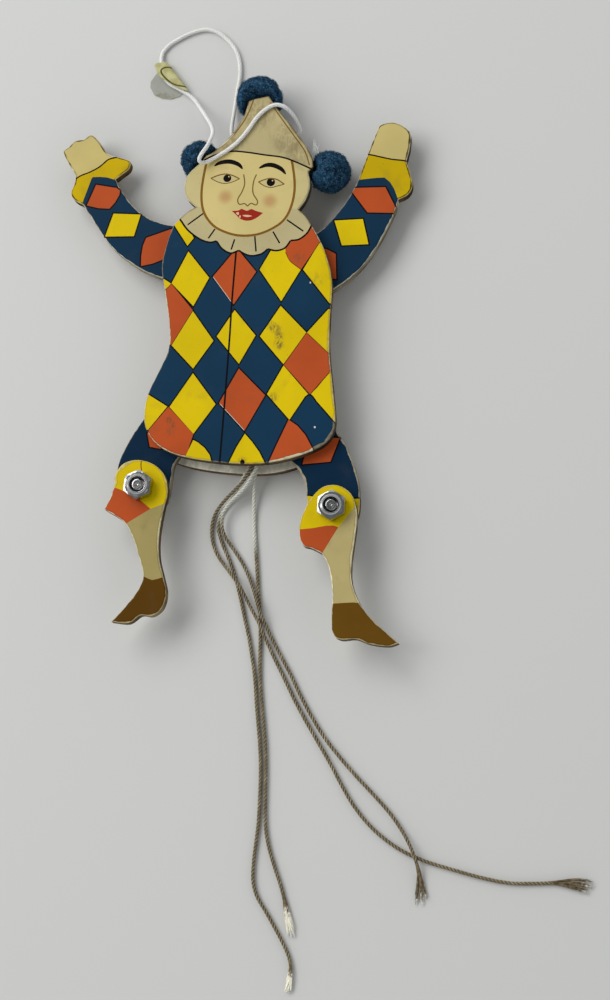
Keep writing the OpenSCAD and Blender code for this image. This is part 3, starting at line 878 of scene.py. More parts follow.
navy = paint("navy_paint", (24, 52, 75), 0.06, (120, 116, 98))
navy_arm = paint("navy_arm_paint", (23, 48, 69), 0.08, (176, 172, 154))
navy_thigh = paint("navy_thigh_paint", (18, 41, 62), 0.08, (156, 150, 130))
navy_line = paint("navy_line", (8, 15, 22), 0.03, (70, 68, 60))
RED_SMUDGES = [
    (-18.6, -19.2, 0.9, 0.8), (-17.8, -20.5, 1.1, 0.7), (-18, -22.2, 1.6, 0.35), (12.6, 26.2, 2, 0.4),
]
red = paint("red_paint", (169, 75, 39), 0.14, smudges=RED_SMUDGES)
YELLOW_SMUDGES = [
    (6.3, 7.4, 1.5, 0.6), (7.9, 6.7, 1.7, 0.6), (9.1, 4.6, 1.3, 0.75), (9.1, 2.3, 1.5, 0.8),
    (8.7, -12.1, 1.5, 0.6), (2.1, -29.4, 1.2, 0.7), (17.4, 20.3, 2.5, 0.3),
]
UNDER_YELLOW = (196, 178, 110)
yellow = paint("yellow_paint", (202, 176, 16), 0.18, UNDER_YELLOW, smudges=YELLOW_SMUDGES)
cuff = paint("cuff_paint", (182, 154, 18), 0.2, UNDER_YELLOW, edged=True)
CHEEKS = [(-8.8, 43.0, 2.8, 0.5), (3.5, 42.1, 2.8, 0.52)]
skin = paint("skin_paint", (193, 176, 118), 0.1, cheeks=CHEEKS, cloud=0.05)
hair_pale = paint("hair_paint", (184, 171, 122), 0.2)
HAT_SMUDGES = [(-9.5, 58.6, 5, 0.4), (7, 60.5, 5, 0.3), (-1.4, 67, 5, 0.45), (11, 55, 4, 0.3)]
hat_white = paint("hat_paint", (174, 161, 119), 0.34, (120, 104, 66), smudges=HAT_SMUDGES)
ruff_white = paint("ruff_paint", (172, 160, 120), 0.26, (134, 118, 80))
hand_tan = paint("hand_paint", (184, 168, 108), 0.12, edged=True)
stocking = paint("stocking_paint", (154, 140, 90), 0.22, (200, 190, 150))
stocking_right = paint("stocking_paint_right", (172, 158, 108), 0.16, (214, 204, 164))
UNDER_SHOE = (176, 160, 118)
shoe_left = paint("shoe_paint_left", (84, 57, 16), 0.2, UNDER_SHOE)
shoe_right = paint("shoe_paint_right", (95, 67, 23), 0.2, UNDER_SHOE)
black = paint("black_line", (20, 18, 18), 0.05, (60, 52, 40))
brown = paint("brown_line", (118, 84, 30), 0.1)
fine_brown = paint("fine_brown_line", (112, 86, 42), 0.1)
lip_red = paint("lip_paint", (146, 40, 30), 0.05)
lip_light = paint("lip_light", (206, 176, 138), 0.05)
bare_gesso = paint("bare_gesso", (190, 188, 178), 0.3)
edge_brown = sawn_edge("sawn_edge", (92, 76, 52), (48, 36, 24), (140, 124, 92))
edge_dark = sawn_edge("painted_edge", (58, 44, 26), (34, 26, 16), (110, 88, 50), 0.5)
edge_panel = sawn_edge("panel_edge", (70, 60, 46), (40, 34, 28), (132, 122, 98), 0.6)
edge_back = sawn_edge("back_panel_edge", (116, 96, 66), (72, 56, 38), (140, 122, 92), 0.4)
back_face = bare_wood("back_panel_face", seen(214, 210, 194), seen(198, 192, 174), (1, 0.5, 1))
edge_limb = sawn_edge("limb_edge", (140, 132, 112), (84, 74, 58), (176, 170, 150))
plain_back = bare_wood("plain_back", (0.46, 0.36, 0.22), (0.20, 0.13, 0.07))

RUFF_EDGE = [
    [(-22, 37.6), (-20.8, 36.6), (-18.2, 33.4), (-14.8, 31), (-12, 30.1), (-10.1, 30.5)],
    [(-10.1, 30.5), (-8.4, 28.4), (-6, 27.2), (-3.8, 28)],
    [(-3.8, 28), (-2, 27), (0, 26.6), (2.4, 27.2), (4, 28.6)],
    [(4, 28.6), (6.4, 28.2), (8.6, 29), (10, 31.1)],
    [(10, 31.1), (12.2, 31.5), (14.2, 33.2), (15.3, 35.4), (16.4, 37)],
]
PLEATS = [
    [(-14.4, 38.2), (-18.4, 34.9)],
    [(-10.8, 33.9), (-12.4, 31.2)],
    [(-5.2, 31.1), (-5.9, 28.2)],
    [(0.2, 32.1), (0.9, 27.8)],
    [(5, 33.5), (7.1, 30.3)],
    [(8.5, 36.9), (13.2, 33.8)],
]
FACE_EDGE = [
    (-14.8, 52.9), (-15.3, 48), (-15.4, 44), (-14.8, 40), (-13.2, 36.8), (-10.4, 34.2), (-6, 32.5),
    (-2, 32.2), (2, 33), (6, 35.2), (8.2, 37.6), (9.4, 40.8), (9.9, 44.4), (9.7, 48), (9, 51.6),
    (8.5, 53.6),
]
BRIM = [
    (-16.2, 53), (-12.6, 54.9), (-8.4, 56), (-4, 55.8), (1.2, 55.1), (6, 54.5), (10, 53.1), (15, 50.9),
]
NOSE_LEFT = [
    (-4.3, 49.5), (-3.8, 46.8), (-4.4, 44.4), (-5.3, 42.4), (-4.8, 41), (-3.4, 41.2), (-2.5, 40.5),
]
NOSE_RIGHT = [
    (-0.8, 49.5), (-1.3, 48), (-1.5, 46), (-1.2, 44), (0.1, 42), (-0.2, 40.9), (-1.6, 41.3), (-2.5, 40.5),
]
DIAMONDS = [
    (yellow, (-17.5, 27.4), (-11.2, 20.2), (-14.8, 12.2), (-21.3, 18.4)),
    (red, (-4.4, 28.6), (1.4, 22.2), (-3.9, 13), (-10.2, 20.5)),
    (yellow, (5.2, 28.8), (8.8, 29), (13.4, 23.2), (8.8, 14.2), (2.3, 22.8)),
    (red, (8.6, 30), (8.9, 27.8), (10.3, 25.4), (13.4, 23.1), (17.9, 30.9), (19, 38), (9, 36)),
    (yellow, (17.9, 30.9), (30, 26), (30, 14), (21.8, 14), (14, 23.1)),
    (yellow, (-23.4, 19.5), (-21.3, 18.2), (-22.6, 16.6), (-26, 17), (-26, 19.6)),
    (red, (-21.3, 18.2), (-14.8, 11), (-19.8, 1.3), (-26, 1), (-26, 14), (-22.6, 16.6)),
    (yellow, (-14.8, 10.8), (-8.5, 2.8), (-13.3, -5), (-19.7, 1.2)),
    (yellow, (-3.5, 11.4), (2.7, 4.6), (-1.1, -3.3), (-7.7, 4)),
    (yellow, (8.8, 12.9), (16.2, 5.8), (10.8, -3), (3.9, 4.4)),
    (yellow, (16.4, 5.8), (21.6, 12.4), (30, 12.6), (30, 0.1), (22.9, 0.1)),
    (red, (16.3, 5.9), (22.9, 0), (30, 0), (30, -4.7), (23.2, -4.7), (18.5, -10.9), (10.9, -3.2)),
    (yellow, (-13.2, -6.3), (-6.4, -14.5), (-11.6, -22.7), (-18.7, -15.7)),
    (red, (-1, -4.6), (6.6, -11.6), (1.9, -21.4), (-5.5, -14.2)),
    (yellow, (10.9, -3.3), (17, -9.6), (18.1, -10.8), (17.2, -11.6), (13.6, -18), (7.1, -11.3)),
    (yellow, (18.7, -10.8), (20.3, -9), (23.2, -4.8), (30, -4.8), (30, -18.2), (25.7, -18.2),
     (20.4, -12.7), (19.6, -11.6)),
    (yellow, (-30, -12.5), (-24.8, -12.5), (-19.3, -15.6), (-23.7, -22.1), (-30, -22)),
    (red, (-19, -15.7), (-11.6, -22.7), (-12.4, -26), (-13.3, -34), (-24, -34), (-23.7, -22.1)),
    (yellow, (-11.5, -24.4), (-10.2, -25), (-8.3, -26.4), (-6.8, -28.2), (-5.6, -31.5), (-8, -34),
     (-14, -34), (-13.2, -28.9)),
    (yellow, (2.1, -22.2), (4.1, -24.2), (6.3, -26.9), (8.2, -30.1), (9.4, -34), (-3, -34), (-1.5, -30.2),
     (0.2, -25.9)),
    (red, (13.4, -18), (15.8, -19.5), (18.1, -21.9), (20.3, -25.5), (23, -32), (22, -34), (7.6, -34),
     (9, -29.7), (11, -24.2)),
    (yellow, (-23.6, 37), (-20.5, 38), (-16.4, 31.2), (-17.9, 29), (-21.9, 34.5)),
]
SEAMS = [
    [(8.9, 27.8), (10.3, 25.4), (13.4, 23.1)], [(17.9, 30.9), (13.7, 23.1)], [(-21.3, 18.3), (-22.7, 16.6)],
    [(-14.8, 10.9), (-19.7, 1.3)], [(16.3, 5.8), (22.8, 0.1)], [(16.2, 5.7), (10.9, -3.1)],
    [(10.9, -3.3), (18, -10.8)], [(18.7, -10.8), (23.2, -4.9)], [(-19.2, -15.6), (-23.8, -22.1)],
]
# where the red paint stops short of its dark line
SHORT_OF_LINE = [[(-10.1, 20.4), (-4.3, 13.3)], [(-5.2, -14.4), (1.8, -21.2)]]
MIDDLE_LINE = [(-4.5, 28.5), (-4.45, 14), (-4.2, 3.6), (-4.0, -14), (-3.9, -34)]
SPOTS = [
    [(-23.9, 35.6), (-22, 36.2), (-22.2, 34.6), (-23, 32), (-23.6, 29.6), (-24.6, 30)],
    [(1.5, -29.6), (2.1, -29.1), (2.7, -29.6), (2.5, -30.6), (1.8, -30.6)],
    [(20.2, -19.5), (20.6, -19.5), (20.7, -19.9), (20.3, -20)],
    [(16, 19.7), (16.3, 19.8), (16.4, 19.4), (16.1, 19.3)],
]
# the fine inner contours of the hat, one along each slope, and a crack over the left eye
HAT_LEFT = [(-14, 55.6), (-10.2, 58.4), (-7.4, 61.6), (-5, 65.8), (-3.6, 70), (-3.5, 71)]
HAT_RIGHT = [(1.3, 70.2), (3.8, 66.8), (8, 61.4), (11.8, 56.4), (13.4, 52.4)]
CRACK = [(-12.2, 49.7), (-9.6, 50.5), (-6.6, 50.3)]
BROWS = [
    [(-12.6, 51.7), (-11, 52.7), (-8.4, 53.05), (-6, 52.3), (-4.7, 51)],
    [(-0.3, 51.3), (1.6, 52.2), (3.6, 52.2), (5.8, 51.2), (7.2, 49.7)],
]
UPPER_LIP = [(-6.7, 39.1), (-5, 39.2), (-4, 39.7), (-2.6, 39.2), (-1.4, 39.7), (0, 39.2), (1.9, 38.7)]
LOWER_LIP = [(1.9, 38.7), (0.6, 37.5), (-1, 36.6), (-2.6, 36.4), (-4.2, 36.9), (-5.4, 38), (-6.7, 39.1)]
# pale flecks on the mouth: a painted highlight on the lower lip, then two chips of paint at its left corner
LIP_HIGHLIGHT_AND_CHIPS = [
    [(-3.6, 37.9), (-2.6, 38.05), (-1.4, 37.9), (-1.1, 37.7), (-2.2, 37.45), (-3.2, 37.6)],
    [(-5.5, 38.5), (-4.9, 38.8), (-4.6, 38.3), (-4.9, 37.9), (-5.2, 38.2)],
    [(-4.5, 37.7), (-4.2, 37.9), (-4.1, 37.3), (-4.5, 37.2)],
]
FAR = 60  # well outside any sheet


def lid(left, middle, right, *lifts):
    """The line of an eyelid: the lifts are those of the points halfway to its corners."""
    ends = zip((left, right), lifts)
    before, after = (((end[0] + middle[0]) / 2, middle[1] + lift) for end, lift in ends)
    return [left, before, middle, after, right]


def eye(left, right, top, bottom, pupil, size):
    """One painted eye: brown lids, a black pupil and a pale dot on it, a painted highlight."""
    high, low = lid(left, top, right, -0.4, -0.4), lid(left, bottom, right, 0.4, 0.45)
    return [
        (np.concatenate([through(high, 4), through(low, 4)[::-1][1:-1]]), hair_pale),
        (disc(pupil, size, 24), black),
        # a painted highlight on the pupil
        (disc((pupil[0] + 0.4, pupil[1] + 0.45), size * 0.17, 12), lip_light),
        (stroke(high, 0.34), fine_brown),
        (stroke(low, 0.26), fine_brown),
    ]


def front_regions():
    """The painted shapes of the front panel, the later ones over the earlier."""
    ruff = [through(p, 4) for p in RUFF_EDGE] + [shape((FAR, 37), (FAR, 90), (-FAR, 90), (-FAR, 37.6))]
    face = through(FACE_EDGE, 5)
    low_face = face[face[:, 1] < 40.5]
    hair_left = shape((-FAR, 60), (-FAR, 40.2), (-16.6, 40.1))
    hair_right = shape((11.4, 40), (FAR, 40), (FAR, 60))
    hat = [through(BRIM, 5), shape((FAR, 51), (FAR, 90), (-FAR, 90), (-FAR, 53))]
    regions = outlined([(shape(*points), material) for material, *points in DIAMONDS], 0.38)
    regions += [(stroke(p, 0.16), navy_line) for p in SEAMS]
    regions += [(stroke(p, 0.14), bare_gesso) for p in SHORT_OF_LINE]
    regions += [
        (stroke(MIDDLE_LINE, 0.5), black),
        (closed(SPOTS[0]), bare_gesso),
        (closed(SPOTS[1]), black),
        *((closed(spot), bare_gesso) for spot in SPOTS[2:]),
        (np.concatenate(ruff), ruff_white),
        (np.concatenate([hair_left, low_face, hair_right]), hair_pale),
        (np.concatenate([face, shape((-8, 57))]), skin),
        (np.concatenate(hat), hat_white),
    ]
    lines = [(p, 0.5, black) for p in RUFF_EDGE] + [(p, 0.42, black) for p in PLEATS]
    lines += [(FACE_EDGE, 0.66, brown), (BRIM, 0.46, black)]
    lines += [(NOSE_LEFT, 0.34, fine_brown), (NOSE_RIGHT, 0.34, fine_brown)]
    lines += [(HAT_LEFT, 0.36, fine_brown), (HAT_RIGHT, 0.34, fine_brown), (CRACK, 0.16, lip_light)]
    regions += [(stroke(p, w), m) for p, w, m in lines]
    regions += [(stroke(p, 1.25, taper=True), black) for p in BROWS]
    regions += eye((-13.2, 48.2), (-5.3, 48.2), (-9.2, 49.5), (-9.2, 46.8), (-8.7, 48.3), 1.1)
    regions += eye((-0.1, 47.4), (7.0, 46.9), (3.2, 48.5), (3.4, 45.9), (3.3, 47.4), 1.14)
    regions += [
        (np.concatenate([through(UPPER_LIP, 4), through(LOWER_LIP, 4)[1:-1]]), lip_red),
        *((closed(lip_fleck), lip_light) for lip_fleck in LIP_HIGHLIGHT_AND_CHIPS),
    ]
    return regions


FRONT_WALLS = [
    edge_panel, (yellow, edge_brown), (red, edge_brown), (hat_white, edge_dark), (ruff_white, edge_brown),
]
# places where the front's pale edge band is wider, as (x, y, radius, width): paint rubbed off and a painted
# highlight of the rounded edge
FRONT_RUBBED_AND_HIGHLIT = [
    (22, -25, 3.4, 0.8), (24.6, -21.5, 3.2, 0.8), (25.8, -18, 2.6, 0.6), (16, -29, 5.5, 0.7),
    (11, -29.6, 3, 0.6), (23.4, -10, 6, 0.4), (22.4, 4, 6, 0.4), (-9, 59, 5, 0.5), (9, 61, 4, 0.4),
]
painted_sheet(
    "front_panel", front_regions(), navy, FRONT_WALLS, plain_back, BODY, rubbed_and_highlit=FRONT_RUBBED_AND_HIGHLIT
)
painted_sheet("back_panel", [], back_face, [edge_back], plain_back, BODY, 0.25)

# ---- arms and legs -----------------------------------------------------------

# the painted patches of each limb, and the lines that two of them share
ARM_LEFT_HAND = [
    (-51.7, 48.6), (-50.3, 49.6), (-48, 50.6), (-45.6, 52), (-44.3, 53.2), (-43, 54.4), (-40.7, 55.1),
]
ARM_RIGHT_HAND = [(22, 57.6), (28.4, 57), (32, 56.3), (35, 55.7), (38.8, 55.3), (46, 54)]
KNEE_LEFT = [(-10, -38), (-17.2, -41.5), (-21.2, -43.3)]
KNEE_RIGHT = [(40, -38), (33.2, -39.5), (32, -41), (30, -44), (28.6, -46)]
ARM_LEFT_PAINT = [
    (cuff, [(-58, 54), (-51.9, 49.2), *ARM_LEFT_HAND[:-1], (-40.7, 55.6), (-30, 58), (-34, 48),
     (-40.5, 48.5), (-43, 49.2), (-45, 49.3), (-47, 49.2), (-47.3, 48.6), (-48, 46), (-49, 42.2),
     (-48.9, 40), (-56, 40), (-60, 48)]),
    (red, [(-45.8, 47), (-43, 46.6), (-40, 46.2), (-38.9, 45.5), (-39, 44.2), (-40, 42), (-41.4, 40.2),
     (-44.5, 40.3), (-47.8, 41)]),
    (yellow, [(-40.1, 38.8), (-32.5, 38.7), (-33.8, 32.5), (-41.8, 32.2)]),
    (red, [(-20, 35.6), (-24, 34.6), (-27, 33.4), (-30.3, 32.1), (-31, 29.8), (-31.2, 27), (-31, 24.1),
     (-28, 24.8), (-25.3, 26), (-20, 27)]),
]
ARM_RIGHT_PAINT = [
    (cuff, [(20, 58), *ARM_RIGHT_HAND[1:], (46, 42), (37.5, 44.3), (37.2, 45), (36.3, 47.2), (35, 49.2),
     (33.4, 50.5), (31.5, 50.4), (29, 50.1), (26.4, 49.7), (20, 49)]),
    (red, [(25.3, 47.4), (33.8, 47.8), (37, 42), (36.5, 40.6), (29.5, 40.6), (25, 46.2)]),
    (yellow, [(20.8, 38.1), (28.4, 38.7), (30.4, 31.7), (23.3, 31.2)]),
    (red, [(15, 31), (19.3, 30), (21.8, 28.8), (22.5, 21.8), (20.8, 22), (15, 21)]),
]
THIGH_LEFT_PAINT = [
    (red, [(-24.8, -22.3), (-23.8, -25.9), (-21.1, -26.3), (-16, -26), (-15, -18), (-22, -17)]),
]
THIGH_RIGHT_PAINT = [
    (red, [(24.4, -21.6), (26.7, -21.6), (24.7, -28), (17.4, -29), (17.6, -27.8), (20, -20)]),
    (yellow, [(10, -37.2), (20, -37.4), (27, -38), (40, -37), (40, -52), (10, -52)]),
]
SHIN_LEFT_PAINT = [
    (yellow, [(-40, -28), (-10, -28), *KNEE_LEFT, (-30, -52), (-40, -52)]),
    (stocking, [*KNEE_LEFT, (-24, -45.2), (-27.3, -47.5), (-30, -50), (-34, -66), (-22.5, -61.2),
     (-21.5, -61.2), (-20, -61.8), (-19, -62.1), (-17.5, -61.7), (-16.5, -61.3), (-10, -61)]),
    (red, [(-31.5, -38), (-28.5, -38.9), (-25, -40.5), (-21.2, -43.3), (-24, -45.2), (-27.3, -47.5),
     (-30, -49), (-36, -46), (-36, -42), (-32.6, -41)]),
]
SHIN_RIGHT_PAINT = [
    (yellow, [(10, -30), (40, -30), *KNEE_RIGHT, (27.5, -45.6), (25.5, -45.7), (22, -46.5), (18.6, -47),
     (10, -47)]),
    (stocking_right, [*KNEE_RIGHT, (27, -49), (25.2, -52.5), (20, -66), (28.5, -65.9), (31, -65.6),
     (34, -65.3), (35.5, -65.4), (42, -65)]),
    (red, [(18, -47), (18.6, -47), (22, -46.5), (25.5, -45.7), (27.5, -45.6), (28.6, -46), (27, -49),
     (25.2, -52.5), (24, -55), (16, -54)]),
]
LIMB_WALLS = [
    edge_brown, (hand_tan, edge_dark), (cuff, edge_dark), (navy_arm, edge_limb), (navy_thigh, edge_limb),
]
# each limb: its part, its patches, its ground paint, where its pale edge band is wider (paint rubbed off and
# a painted highlight) and its lines
LIMBS = [
    ("arm_left", [*ARM_LEFT_PAINT, (hand_tan, [*ARM_LEFT_HAND, (-38, 60), (-44, 66), (-60, 66), (-60, 52)])],
     navy_arm, [(-36.5, 24, 2.2, 0.7), (-32.5, 21.5, 1.6, 0.6)], [(ARM_LEFT_HAND, 0.4, black)]),
    ("arm_right", [*ARM_RIGHT_PAINT, (hand_tan, [*ARM_RIGHT_HAND, (46, 70), (22, 70)])],
     navy_arm, [(31, 30, 4, 0.25)], [(ARM_RIGHT_HAND, 0.4, black)]),
    ("thigh_left", THIGH_LEFT_PAINT, navy_thigh, [(-25, -30, 5, 0.4)], []),
    ("thigh_right", THIGH_RIGHT_PAINT, navy_thigh,
     [(17.2, -33, 7, 0.6), (27.5, -31, 8, 0.55), (25.5, -23, 4, 0.5)], []),
    ("shin_left", SHIN_LEFT_PAINT, shoe_left,
     [(-29.5, -31.6, 4, 0.85), (-31, -36, 3, 0.6), (-19, -36, 4, 0.4), (-20, -50, 8, 0.4),
      (-30, -56, 8, 0.4)],
     [([(-24.8, -29.6), (-24.9, -31.4), (-24.6, -33.2)], 0.3, brown)]),
    ("shin_right", SHIN_RIGHT_PAINT, shoe_right,
     [(31, -50, 10, 0.4), (24, -60, 8, 0.4), (32, -42, 5, 0.4)], []),
]


def make_limb(node, patches, ground, rubbed_and_highlit, lines):
    """An arm, thigh or shin with its painted patches, some of which have a dark line round them."""
    regions = []
    for material, points in patches:
        patch = [(shape(*points), material)]
        lined = ground in (navy_arm, navy_thigh) and material in (red, yellow)
        regions += outlined(patch, 0.4) if lined else patch
    regions += [(stroke(points, width), material) for points, width, material in lines]
    painted_sheet(node, regions, ground, LIMB_WALLS, plain_back, node, rubbed_and_highlit=rubbed_and_highlit)


for limb in LIMBS:
    make_limb(*limb)

# ---- wood inside -------------------------------------------------------------


def give(material, *names):
    for name in names:
        mesh = NODES[name].data
        mesh.materials.clear()
        mesh.materials.append(material)


raw_block = bare_wood("raw_block", (0.62, 0.50, 0.32), (0.34, 0.23, 0.12), (0.06, 1, 1))
raw_dowel = bare_wood("raw_dowel", (0.68, 0.55, 0.34), (0.36, 0.24, 0.12), (1, 1, 0.06))
give(raw_block, "neck_spacer", "waist_spacer_left", "waist_spacer_right")
give(raw_dowel, "shoulder_dowel_left", "shoulder_dowel_right", "hip_dowel_left", "hip_dowel_right")

# ---- knee bolts and nuts -----------------------------------------------------

KNEE_TURN = {"left": 27, "right": 31}  # how far each nut is turned, in degrees
NUT_FLATS, NUT_LOW, NUT_HIGH = 7.0, 9.6, 12.8
CHAMFER_DOWN = 0.28
BORE_R, BORE_FLARE = 1.66, 0.35
# (radius, depth below the top), from the bore out over the bead round it
NUT_RIM = [
    (BORE_R, 1.5), (1.98, 1.2), (2.04, 0.35), (2.1, 0.1), (2.2, 0.01), (2.32, 0), (2.5, 0.09), (2.66, 0.28),
    (2.76, 0.33), (2.9, 0.34), (3.3, 0.32),
]
PITCH = 0.7
HEAD_LOW, HEAD_HIGH, HEAD_R, HEAD_ROUND = 0.75, 3.25, 3.8, 1.1
BOLT_TIP = 12.4
NECK = 1.15  # the length at the tip that has no thread
BOLT_END = [
    (1.5, 1.1), (1.5, 0.22), (1.34, 0.02), (1.26, 0), (0.98, 0), (0.9, 0.1), (0.8, 0.1), (0.72, 0.01),
    (0.4, 0.01), (0.28, 0.14), (0.0, 0.2),
]
ROUND = 72  # points round


def turned(at, profile, turn=0.0):
    """The points of rings round a place. Each is (radius, height); a radius may be a function of the
    angle and the height, and a height a function of the angle."""
    points = []
    for radius, height in profile:
        for k in range(ROUND):
            a = TURN * k / ROUND + math.radians(turn)
            r = radius(a, height) if callable(radius) else radius
            z = height(a) if callable(height) else height
            points.append((at[0] + r * math.cos(a), at[1] + r * math.sin(a), z))
    return points


def knee_place(side):
    low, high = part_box("knee_nut_" + side)
    return (low.x + high.x) / 2 / MM, (low.y + high.y) / 2 / MM


def down_from(top, profile):
    return [(radius, top - depth) for radius, depth in profile]


def make_steel(name, ending, points, faces, steel):
    return make_mesh(name + ending, points, faces, [steel], body_of(NODES[name])[0])


def make_nut(side, steel):
    """A hexagon nut with chamfered corners and a countersunk bore."""
    name, turn = "knee_nut_" + side, KNEE_TURN[side]

    def hexagon(inset_by=0.0):
        def reach(a, height=None):
            off = (math.degrees(a) - turn) % 60 - 30
            return (NUT_FLATS / 2 - inset_by) / math.cos(math.radians(off))

        return reach

    def chamfer(level, sign, lift=0.0):
        # the cone cuts the corners: the side's own reach sets how far down the cut comes
        return lambda a: level - sign * 0.5 * max(0.0, hexagon()(a) - NUT_FLATS / 2 + 0.16) + lift

    shoulder = NUT_HIGH - CHAMFER_DOWN
    profile = [(BORE_R, NUT_LOW + BORE_FLARE), *down_from(NUT_HIGH, NUT_RIM)]
    profile += [(hexagon(0.03), chamfer(shoulder, 1)), (hexagon(), chamfer(shoulder, 1, -0.06))]
    profile += [(hexagon(), chamfer(NUT_LOW, -1, 0.06)), (hexagon(0.03), chamfer(NUT_LOW, -1))]
    profile += [(3.34, NUT_LOW + 0.03), (3.1, NUT_LOW), (2.1, NUT_LOW)]
    faces = ring_faces(len(profile), ROUND, closed_ends=False)
    last = (len(profile) - 1) * ROUND
    faces += [(last + k, last + (k + 1) % ROUND, (k + 1) % ROUND, k) for k in range(ROUND)]
    made = make_steel(name, "_hex", turned(knee_place(side), profile, turn), faces, steel)
    dress(made, sharp=22, outward=True)
    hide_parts(name)


def thread(crest, depth):
    """The radius of a cut thread, for turned."""

    def reach(a, height):
        share = (height / PITCH - a / TURN) % 1
        return crest - depth * min(1.0, 1.25 * (1 - abs(2 * share - 1)))

    return reach


def make_bolt(side, steel):
    """A pan-head bolt with a cross recess, a cut thread and a chamfered tip with a centre dimple."""
    name, at = "knee_bolt_" + side, knee_place(side)
    flat = HEAD_R - HEAD_ROUND
    profile = [(0.0, HEAD_LOW + 0.02), (1.2, HEAD_LOW), (flat, HEAD_LOW + 0.02)]
    for a in (math.pi / 2 * k / 7 for k in range(1, 8)):
        profile.append((flat + HEAD_ROUND * math.sin(a), HEAD_LOW + HEAD_ROUND * (1 - math.cos(a))))
    profile += [(HEAD_R, HEAD_HIGH - 0.15), (HEAD_R - 0.15, HEAD_HIGH), (1.9, HEAD_HIGH)]
    level = HEAD_HIGH + 0.1
    for end, cut in ((NUT_LOW - 0.1, thread(1.93, 0.24)), (BOLT_TIP - NECK, thread(1.62, 0.16))):
        while level < end:
            profile.append((cut, level))
            level += PITCH / 7
    profile += down_from(BOLT_TIP, BOLT_END)
    faces = ring_faces(len(profile), ROUND, closed_ends=False)
    made = make_steel(name, "_threaded", turned(at, profile), faces, steel)
    dress(made, outward=True, weld=1e-7)
    cut_cross(made, at)
    made.data.polygons.foreach_set("use_smooth", [True] * len(made.data.polygons))
    dress(made, sharp=24)
    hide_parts(name)


RECESS = ((HEAD_LOW - 0.3, 2.15, 0.5), (HEAD_LOW + 1.5, 1.05, 0.26))  # height, half length, half width
BOX_FACES = [(3, 2, 1, 0), (4, 5, 6, 7), (0, 1, 5, 4), (1, 2, 6, 5), (2, 3, 7, 6), (3, 0, 4, 7)]


def cut_cross(made, at):
    """The driver's recess: two crossed wedges, narrower towards their floor."""
    for turn in (math.radians(20), math.radians(110)):
        across, up, corners = math.cos(turn), math.sin(turn), []
        for z, long, wide in RECESS:
            for x, y in ((-long, -wide), (long, -wide), (long, wide), (-long, wide)):
                corners.append((at[0] + x * across - y * up, at[1] + x * up + y * across, z))
        mesh = bpy.data.meshes.new("wedge")
        mesh.from_pydata([tuple(c * MM for c in p) for p in corners], [], BOX_FACES)
        wedge = placed("wedge", mesh)
        cut = made.modifiers.new("recess", "BOOLEAN")
        cut.operation, cut.solver, cut.object = "DIFFERENCE", "EXACT", wedge
        bpy.context.view_layer.update()
        now = bpy.data.meshes.new_from_object(made.evaluated_get(bpy.context.evaluated_depsgraph_get()))
        made.modifiers.remove(cut)
        made.data = now
        bpy.data.objects.remove(wedge)
        bpy.data.meshes.remove(mesh)


nut_steel = plated_steel("nut_steel", 0.35)
bolt_steel = plated_steel("bolt_steel", 0.6)
for knee in KNEE_TURN:
    make_nut(knee, nut_steel)
    make_bolt(knee, bolt_steel)

# ---- pompoms -----------------------------------------------------------------

POMPOMS = {
    "pompom_top": ((-2.4, 72.4), 6.4, 3),
    "pompom_right": ((18.4, 52.0), 5.8, 5),
    "pompom_left": ((-17.5, 54.8), 5.4, 7),
}
PANEL_UNDERSIDE = 6.4
HAIRS, HAIR_STEPS = 3000, 4


def felt_material():
    tint = (*seen(120, 150, 180), 1)
    sheen = {"Sheen_Weight": 0.12, "Sheen_Roughness": 0.6, "Sheen_Tint": tint}
    n = Nodes("felt", seen(23, 45, 62), 0.95, Specular_IOR_Level=0.05, **sheen)
    clumps, speckle = n.noise(900, 3), n.noise(2400, 2)
    n.between(clumps, 0.35, 0.65, seen(20, 42, 60), seen(44, 80, 108))
    n.stain(speckle, 0.54, 0.68, 0.7, seen(96, 130, 156))
    n.bump(n.total((clumps, 1), (speckle, 1)), 0.3, 0.8)
    return n.material


